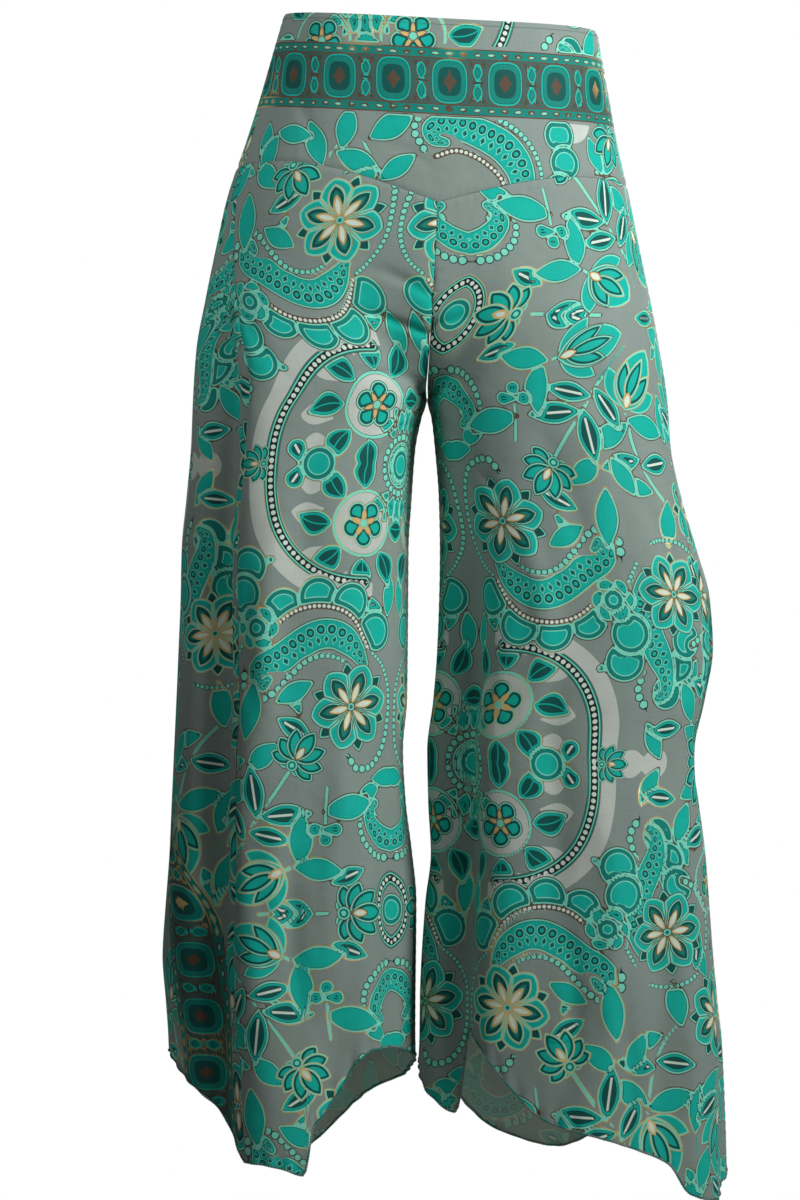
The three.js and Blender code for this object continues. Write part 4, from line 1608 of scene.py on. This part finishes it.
# %% [markdown]
# The star flower has leaf tips, six petals with a darker one in each, and a golden seed. The rosette has five
# round petals with a dark heart, and golden points between them. The lotus has its outer petals first and a
# short ringed stalk, and the bud has two side leaves, a pointed body and dark scales.

# %% The four flowers
where, near = flower_place("flower", 6)
drawn = lay_petal(paint, petal_depth(where, 12, 30, 27, 13), *DARK)
petal = n.math("MINIMUM", petal_depth(where, 2, 0, 36, 28), in_sector(where, 30, 0.4))
drawn = lay_petal(drawn, petal, (0.0, "mint"), (1.5, "turquoise"))
drawn = lay_petal(drawn, petal_depth(where, 7, 0, 25, 14), (0.0, "mint"), (0.9, "deep"), (3.8, "teal"))
drawn = lay_petal(drawn, petal_depth(where, 3, 0, 19, 6.2), *SEED)
drawn = lay_petal(drawn, disc_depth(where, 0, 3.2), (0.0, "mint"), (1.4, "teal"))
painted = place_flower("flower", STAR, near, paint, drawn)

where, near = flower_place("flower", 5)
petal = n.math("MINIMUM", disc_depth(where, 12, 8.4), in_sector(where, 36, 0.3))
drawn = lay_petal(painted, petal, *CORED)
drawn = lay_petal(drawn, petal_depth(where, 1, 36, 11, 3.6), (0.0, "gold"))
drawn = lay_petal(drawn, disc_depth(where, 0, 3.4), (0.0, "mint"))
painted = place_flower("flower", ROSETTE, near, painted, drawn)

where, near = flower_place("bloom", 1)
drawn = lay_petal(painted, petal_depth(where, 2, 138, 12, 8), *RIMMED)
for way, length, width in ((102, 23, 14), (68, 27, 15), (34, 31, 16), (0, 33, 17)):
    drawn = lay_petal(drawn, petal_depth(where, 2, way, length, width), *CORED)
drawn = lay_petal(drawn, petal_depth(where, 3, 0, 14, 6.4), *SEED)
drawn = lay_petal(drawn, disc_depth(where, -4, 5.4), (0.0, "mint"), (1.3, "teal"), (3.2, "mint"))
bloomed = place_flower("bloom", LOTUS, near, painted, drawn)

drawn = lay_petal(painted, petal_depth(where, 2, 46, 38, 17), *RIMMED)
drawn = lay_petal(drawn, petal_depth(where, 0, 0, 58, 38), (0.0, "mint"), (1.5, "turquoise"))
drawn = lay_petal(drawn, petal_depth(where, 6, 22, 37, 14), *CORED)
drawn = lay_petal(drawn, petal_depth(where, 8, 0, 41, 14), *CORED)
drawn = lay_petal(drawn, petal_depth(where, 2, 0, 14, 7), *SEED)
paint = place_flower("bloom", BUD, near, bloomed, drawn)
print("all motifs:", len(n.nodes), "nodes")

# %% [markdown]
# ## Printed viscose: yarn, rumples and foil
# The wrong side of printed cloth is paler, and the print shows through. Its colour is painted lighter still,
# as painted light on the inside, which the lamps hardly reach. The cloth takes up the dye unevenly,
# and the yarn has thick and thin places. Rumples from a few millimetres to a few centimetres wide and the
# weave are bump, because as geometry they would need millions of faces. Foil is smooth metal, and the rest is
# matt.

# %% Yarn, rumples and foil
paint = n.shade(paint, n.noise(place, 16.0, 1.0), 0.93, 1.07)
# Inside of the cloth: paler because the wrong side is, and lighter still as painted light for the shade
# there.
paint = n.mix(n.attribute("wrong_side"), paint, n.mix(0.5, paint, "wrong side painted lighter"))
yarn_height, slub = woven_yarn(n, n.attribute("flat_place", vector=True), 0.6)
n.links.new(n.shade(paint, slub, 0.88, 1.12), shader.inputs["Base Color"])

RUMPLES = ((26.0, 2.4), (90.0, 0.5))  # how many for each metre, and their height in mm
heights = [n.math("MULTIPLY", n.noise(place, scale, 0.0), height) for scale, height in RUMPLES]
height = n.math("ADD", n.math("ADD", *heights), n.math("MULTIPLY", yarn_height, 0.05))
n.links.new(n.bump(height, MM), shader.inputs["Normal"])

outline = n.both(on_outline, n.opposite(on_motif))
golden = n.both(filled_with[GOLDEN], n.inside(depth, 0.7))
gold = n.both(foil, n.math("MAXIMUM", outline, golden))
n.links.new(n.math("MULTIPLY", gold, 0.7), shader.inputs["Metallic"])
n.links.new(n.math("SUBTRACT", 0.74, n.math("MULTIPLY", gold, 0.4)), shader.inputs["Roughness"])
shader.inputs["Specular IOR Level"].default_value = 0.22
shader.inputs["Sheen Weight"].default_value = 0.03
print("printed viscose:", len(n.nodes), "nodes")

# %% [markdown]
# ## Rolled hems
# The pointed hems are finished with a narrow rolled edge: the raw edge is turned into a roll about two
# millimetres thick and wrapped closely with thread. The roll is a tube along the lowest row of each leg
# panel. It could be a bevelled curve too, but rings of points in an array take the panel's own direction and
# stay closed at the ends.

# %% Tubes along an edge
HEM_RADIUS = 0.95
HEM_SIDES = 8
LUMPS = 0.08  # share of its radius by which the roll is uneven
LUMP_RATES = (0.9, 0.23)  # two waves along the roll whose product is its lumps


def tube(name, path, out, radius):
    """A closed tube along a path, a little uneven, as rolled cloth is."""
    tangent = np.gradient(path, axis=0)
    tangent /= np.linalg.norm(tangent, axis=1, keepdims=True)
    side = np.cross(tangent, out)
    side /= np.linalg.norm(side, axis=1, keepdims=True)
    up = np.cross(side, tangent)
    way = np.radians(np.arange(HEM_SIDES) * 360 / HEM_SIDES)[None, :, None]
    at = np.arange(len(path))
    lumps = 1 + LUMPS * np.sin(at * LUMP_RATES[0]) * np.sin(at * LUMP_RATES[1])
    ring = lumps[:, None, None] * radius * (np.cos(way) * up[:, None] + np.sin(way) * side[:, None])
    vertices = (path[:, None] + ring).reshape(-1, 3)
    at = np.arange(len(vertices)).reshape(len(path), HEM_SIDES)
    after = np.roll(at, -1, axis=1)
    quads = np.stack([at[:-1], after[:-1], after[1:], at[1:]], -1).reshape(-1, 4)
    ends = (at[0], at[-1][::-1])
    fans = [(end[0], end[i], end[i + 1]) for end in ends for i in range(1, HEM_SIDES - 1)]
    mesh = make_mesh(name, vertices, quads, np.array(fans))
    form = bmesh.new()
    form.from_mesh(mesh)
    bmesh.ops.recalc_face_normals(form, faces=form.faces)
    form.to_mesh(mesh)
    form.free()
    return mesh


hem_paths = {}
hems = {}
for name, sheet in sheets.items():
    if name.startswith("leg"):
        out = sheet["out"][-1]
        path = sheet["points"][-1] - WALL / 2 * out
        hem_paths[name] = path
        hems[name] = new_piece(name + "_hem", tube(name + "_hem", path, out, HEM_RADIUS))
        print(name, "hem:", round(float(np.linalg.norm(np.diff(path, axis=0), axis=1).sum())), "mm long")

# %% [markdown]
# ## Thread
# Thread goes round every rolled hem in close wraps, and a row of small stitches holds the turned top edge of
# the yoke. Both are one small shape repeated hundreds of times along a line, which is work for Geometry
# Nodes: the line is resampled at the stitch's pitch, a shape is placed at each point and turned to the line's
# direction, with a little unevenness from a fixed seed. Afterwards the result is made a plain mesh.

# %% Thread and hem cloth
thread, n, thread_shader, place = new_material("sewing_thread")
in_mm = n.node("ShaderNodeVectorMath", place, operation="SCALE")
in_mm.inputs["Scale"].default_value = 1 / MM
twist_height, slub = woven_yarn(n, in_mm.outputs[0], 0.35)
n.links.new(n.mix(slub, colour(58, 92, 84), colour(96, 140, 128)), thread_shader.inputs["Base Color"])
n.links.new(n.bump(twist_height, 0.1 * MM), thread_shader.inputs["Normal"])
thread_shader.inputs["Roughness"].default_value = 0.6

hem_cloth, n, hem_shader, place = new_material("rolled_hem")
print_seen = n.mix(n.mask(n.noise(place, 60.0), 0.48, 0.52), "ground", "teal")
n.links.new(print_seen, hem_shader.inputs["Base Color"])
hem_shader.inputs["Roughness"].default_value = 0.75
print("materials:", thread.name, "and", hem_cloth.name)

# %% [markdown]
# One tree of nodes serves both kinds of stitch. Its inputs have a maker's names: the line, how far apart and
# how long the stitches are, how thick the thread is, how uneven the hand, and which thread it is.

# %% Stitches along a line


def times(add, value, factor):
    product = add("ShaderNodeMath", [("operation", "MULTIPLY")], Value=value)
    product.inputs[1].default_value = factor
    return product.outputs[0]


def stitch_tree(name, make_stitch):
    """A tree that repeats a small shape along a line. make_stitch adds the shape and returns its geometry."""
    tree = bpy.data.node_groups.new(name, "GeometryNodeTree")
    face = tree.interface
    face.new_socket("Line", in_out="INPUT", socket_type="NodeSocketGeometry")
    for label in ("Pitch", "Length", "Thread radius", "Unevenness"):
        face.new_socket(label, in_out="INPUT", socket_type="NodeSocketFloat")
    face.new_socket("Seed", in_out="INPUT", socket_type="NodeSocketInt")
    face.new_socket("Thread", in_out="INPUT", socket_type="NodeSocketMaterial")
    face.new_socket("Stitches", in_out="OUTPUT", socket_type="NodeSocketGeometry")

    def add(kind, settings=(), **values):
        node = tree.nodes.new(kind)
        for label, value in settings:
            setattr(node, label, value)
        for label, value in values.items():
            socket = node.inputs[label.replace("_", " ")]
            if isinstance(value, bpy.types.NodeSocket):
                tree.links.new(value, socket)
            else:
                socket.default_value = value
        return node

    wish = tree.nodes.new("NodeGroupInput").outputs
    curve = add("GeometryNodeMeshToCurve", Mesh=wish["Line"])
    by_length = [("mode", "LENGTH")]
    points = add("GeometryNodeResampleCurve", by_length, Curve=curve.outputs[0], Length=wish["Pitch"])
    way = tree.nodes.new("GeometryNodeInputTangent").outputs[0]
    along = add("FunctionNodeAlignRotationToVector", [("axis", "Z")], Vector=way)
    uneven = wish["Unevenness"]
    lean = tree.nodes.new("FunctionNodeRandomValue")
    lean.data_type = "FLOAT_VECTOR"
    for limit, value in zip(lean.inputs, (times(add, uneven, -1.0), uneven)):
        tree.links.new(add("ShaderNodeCombineXYZ", X=value, Y=value).outputs[0], limit)
    tree.links.new(wish["Seed"], lean.inputs["Seed"])
    tilt = add("FunctionNodeEulerToRotation", Euler=lean.outputs[0])
    locally = [("rotation_space", "LOCAL")]
    turned = add("FunctionNodeRotateRotation", locally, Rotation=along.outputs[0], Rotate_By=tilt.outputs[0])
    placed = add("GeometryNodeInstanceOnPoints", Points=points.outputs[0], Instance=make_stitch(add, wish))
    tree.links.new(turned.outputs[0], placed.inputs["Rotation"])
    whole = add("GeometryNodeRealizeInstances", Geometry=placed.outputs[0])
    painted = add("GeometryNodeSetMaterial", Geometry=whole.outputs[0], Material=wish["Thread"])
    result = tree.nodes.new("NodeGroupOutput")
    tree.links.new(painted.outputs[0], result.inputs[0])
    return tree


def thread_along(add, wish, curve, sides, **caps):
    """Thread of the wished thickness along a curve."""
    profile = add("GeometryNodeCurvePrimitiveCircle", Resolution=sides, Radius=wish["Thread radius"])
    solid = add("GeometryNodeCurveToMesh", Curve=curve.outputs[0], Profile_Curve=profile.outputs[0], **caps)
    return solid.outputs[0]


def wrap_shape(add, wish):
    """A ring of thread round the rolled hem. Its radius is the stitch's length."""
    ring = add("GeometryNodeCurvePrimitiveCircle", Resolution=8, Radius=wish["Length"])
    return thread_along(add, wish, ring, 4)


def straight_shape(add, wish):
    """A short straight stitch along the line."""
    ends = [times(add, wish["Length"], share) for share in (-0.5, 0.5)]
    start, end = (add("ShaderNodeCombineXYZ", Z=value).outputs[0] for value in ends)
    straight = add("GeometryNodeCurvePrimitiveLine", Start=start, End=end)
    return thread_along(add, wish, straight, 6, Fill_Caps=True)


wrap_tree = stitch_tree("wraps_round_a_hem", wrap_shape)
row_tree = stitch_tree("row_of_stitches", straight_shape)
print("node trees:", wrap_tree.name, "and", row_tree.name)

# %% [markdown]
# The line that the stitches follow is the lowest row of a leg panel, or a row of the yoke just below its top
# edge. A line of points with edges is enough for the nodes. What they make is kept as a plain mesh, and the
# line goes.

# %% Sewing
WRAP = {"Pitch": 2.4, "Length": HEM_RADIUS + 0.22, "Thread_radius": 0.28}
TOP_STITCH = {"Pitch": 3.2, "Length": 2.3, "Thread_radius": 0.26}
TOP_STITCH_DOWN = 2  # rows of the yoke's grid below its top edge
TOP_STITCH_OUT = 0.1  # how far the middle of the thread lies outside the cloth
UNEVENNESS = 0.2
SEED_NUMBER = 7


def sew(name, tree, path, **sizes):
    """Stitches along a path, as a plain mesh. Sizes have the names of the tree's inputs, in millimetres."""
    line = bpy.data.meshes.new(name + "_line")
    line.from_pydata((path * MM).tolist(), [(i, i + 1) for i in range(len(path) - 1)], [])
    worker = new_piece(name + "_line", line)
    modifier = worker.modifiers.new("stitches", "NODES")
    modifier.node_group = tree
    inputs = {item.name: item.identifier for item in tree.interface.items_tree if item.in_out == "INPUT"}
    for label, value in sizes.items():
        modifier[inputs[label.replace("_", " ")]] = value * MM
    modifier[inputs["Unevenness"]] = UNEVENNESS
    modifier[inputs["Seed"]] = SEED_NUMBER
    modifier[inputs["Thread"]] = thread
    graph = bpy.context.evaluated_depsgraph_get()
    mesh = bpy.data.meshes.new_from_object(worker.evaluated_get(graph))
    mesh.name = name
    mesh.shade_smooth()
    bpy.data.objects.remove(worker)
    print(name, "faces:", len(mesh.polygons))
    return new_piece(name, mesh)


threads = {}
for name, path in hem_paths.items():
    threads[name] = sew(name + "_hem_thread", wrap_tree, path, **WRAP)
for name in ("yoke_front", "yoke_back"):
    sheet = sheets[name]
    path = (sheet["points"] + TOP_STITCH_OUT * sheet["out"])[TOP_STITCH_DOWN, 1:-1]
    threads[name] = sew(name + "_top_stitch", row_tree, path, **TOP_STITCH)

# %% [markdown]
# ## Ride and replace
# Each sheet stands for its CAD panel, and its hem and thread go with it. A table lists the size each sheet
# was cut to when it lay flat, and the whole cut is printed.

FLAT_SIZES = {
    "yoke_front": (0.46, 0.18, 0.0570),
    "yoke_back": (0.50, 0.18, 0.0660),
    "leg_left_front": (0.33, 0.88, 0.171),
    "leg_left_back": (0.62, 0.93, 0.367),
    "leg_right_front": (0.44, 0.92, 0.267),
    "leg_right_back": (0.52, 0.91, 0.320),
}
for name, piece in pieces.items():
    piece.data.materials.append(cloth)
    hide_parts(name)
    finish = [threads[name]]
    if name in hems:
        hems[name].data.materials.append(hem_cloth)
        finish.append(hems[name])
    for part in (piece, *finish):
        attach(part, "root")
    width, length, area = FLAT_SIZES[name]
print("whole cut:", round(sum(area for _, _, area in FLAT_SIZES.values()), 3), "square metres")

# %% [markdown]
# ## Light
# The garment is lit as in a studio: one soft lamp high on the right in front, a large one behind that rims
# the cloth, and a small weak one on the left. The two in front have narrow beams that aim at the waist, so
# that the lower legs stay darker.

# %% Light
bpy.context.scene.view_settings.view_transform = "Standard"

# Of each lamp: place, where it points, size in metres, power in watts, and angle of its beam.
LAMPS = {
    "key": ((2.3, -1.8, 0.9), (0, 0, 0.1), 1.0, 17.5, 66),
    "back": ((0.9, 2.7, 0.9), (0, 0, -0.5), 1.2, 46, 150),
    "fill": ((-1.3, -0.9, 0.45), (-0.2, 0, 0.02), 0.6, 0.9, 46),
}
for name, (at, aim, size, power, spread) in LAMPS.items():
    light = bpy.data.lights.new(name, "AREA")
    light.energy = power
    light.shape = "DISK"
    light.size = size
    light.spread = math.radians(spread)
    lamp = new_piece(name, light)
    lamp.location = at
    x, y, z = (b - a for a, b in zip(at, aim))
    lamp.rotation_euler = (math.pi / 2 + math.atan2(z, math.hypot(x, y)), 0, math.atan2(y, x) - math.pi / 2)
print("lamps:", ", ".join(LAMPS))

# %% [markdown]
# ## Floor
# The floor is a pale disc below the hems. A faint glow makes it look almost white, and the glow is only seen:
# as a light it would make the lower legs too bright.

# %% Floor
FLOOR = {"radius": 1.4, "z": -1.3, "glow": 0.4}

floor_mesh = bpy.data.meshes.new("floor")
way = np.radians(np.arange(0, 360, 6))
ring = [(FLOOR["radius"] * x, FLOOR["radius"] * y, FLOOR["z"]) for x, y in zip(np.cos(way), np.sin(way))]
floor_mesh.from_pydata(ring, [], [list(range(way.size))])
floor_piece = new_piece("floor", floor_mesh)
pale, n, pale_shader, place = new_material("pale_floor")
tone = n.mix(n.noise(place, 2.0), colour(226, 226, 224), colour(236, 236, 234))
n.links.new(tone, pale_shader.inputs["Base Color"])
n.links.new(tone, pale_shader.inputs["Emission Color"])
pale_shader.inputs["Roughness"].default_value = 0.8
seen = n.nodes.new("ShaderNodeLightPath").outputs["Is Camera Ray"]
n.links.new(n.math("MULTIPLY", seen, FLOOR["glow"]), pale_shader.inputs["Emission Strength"])
floor_mesh.materials.append(pale)
print("floor at", FLOOR["z"], "m")

# %% [markdown]
# ## Backdrop
# The backdrop is plain white where it is seen. As a light it is faint, so that the lamps model the folds. One
# world can be both: a switch gives the eye one strength and the cloth the other.

# %% Backdrop
BACKDROP = {"light": 0.085, "seen": 1.0}  # strength as a light, and as it looks

world = bpy.data.worlds.new("studio")
bpy.context.scene.world = world
world.use_nodes = True
nodes, links = world.node_tree.nodes, world.node_tree.links
choose = nodes.new("ShaderNodeMixShader")
links.new(nodes.new("ShaderNodeLightPath").outputs["Is Camera Ray"], choose.inputs[0])
backgrounds = {"light": nodes["Background"], "seen": nodes.new("ShaderNodeBackground")}
for index, (use, background) in enumerate(backgrounds.items()):
    background.inputs["Color"].default_value = (1, 1, 1, 1)
    background.inputs["Strength"].default_value = BACKDROP[use]
    links.new(background.outputs[0], choose.inputs[index + 1])
links.new(choose.outputs[0], nodes["World Output"].inputs[0])
print("backdrop:", BACKDROP)
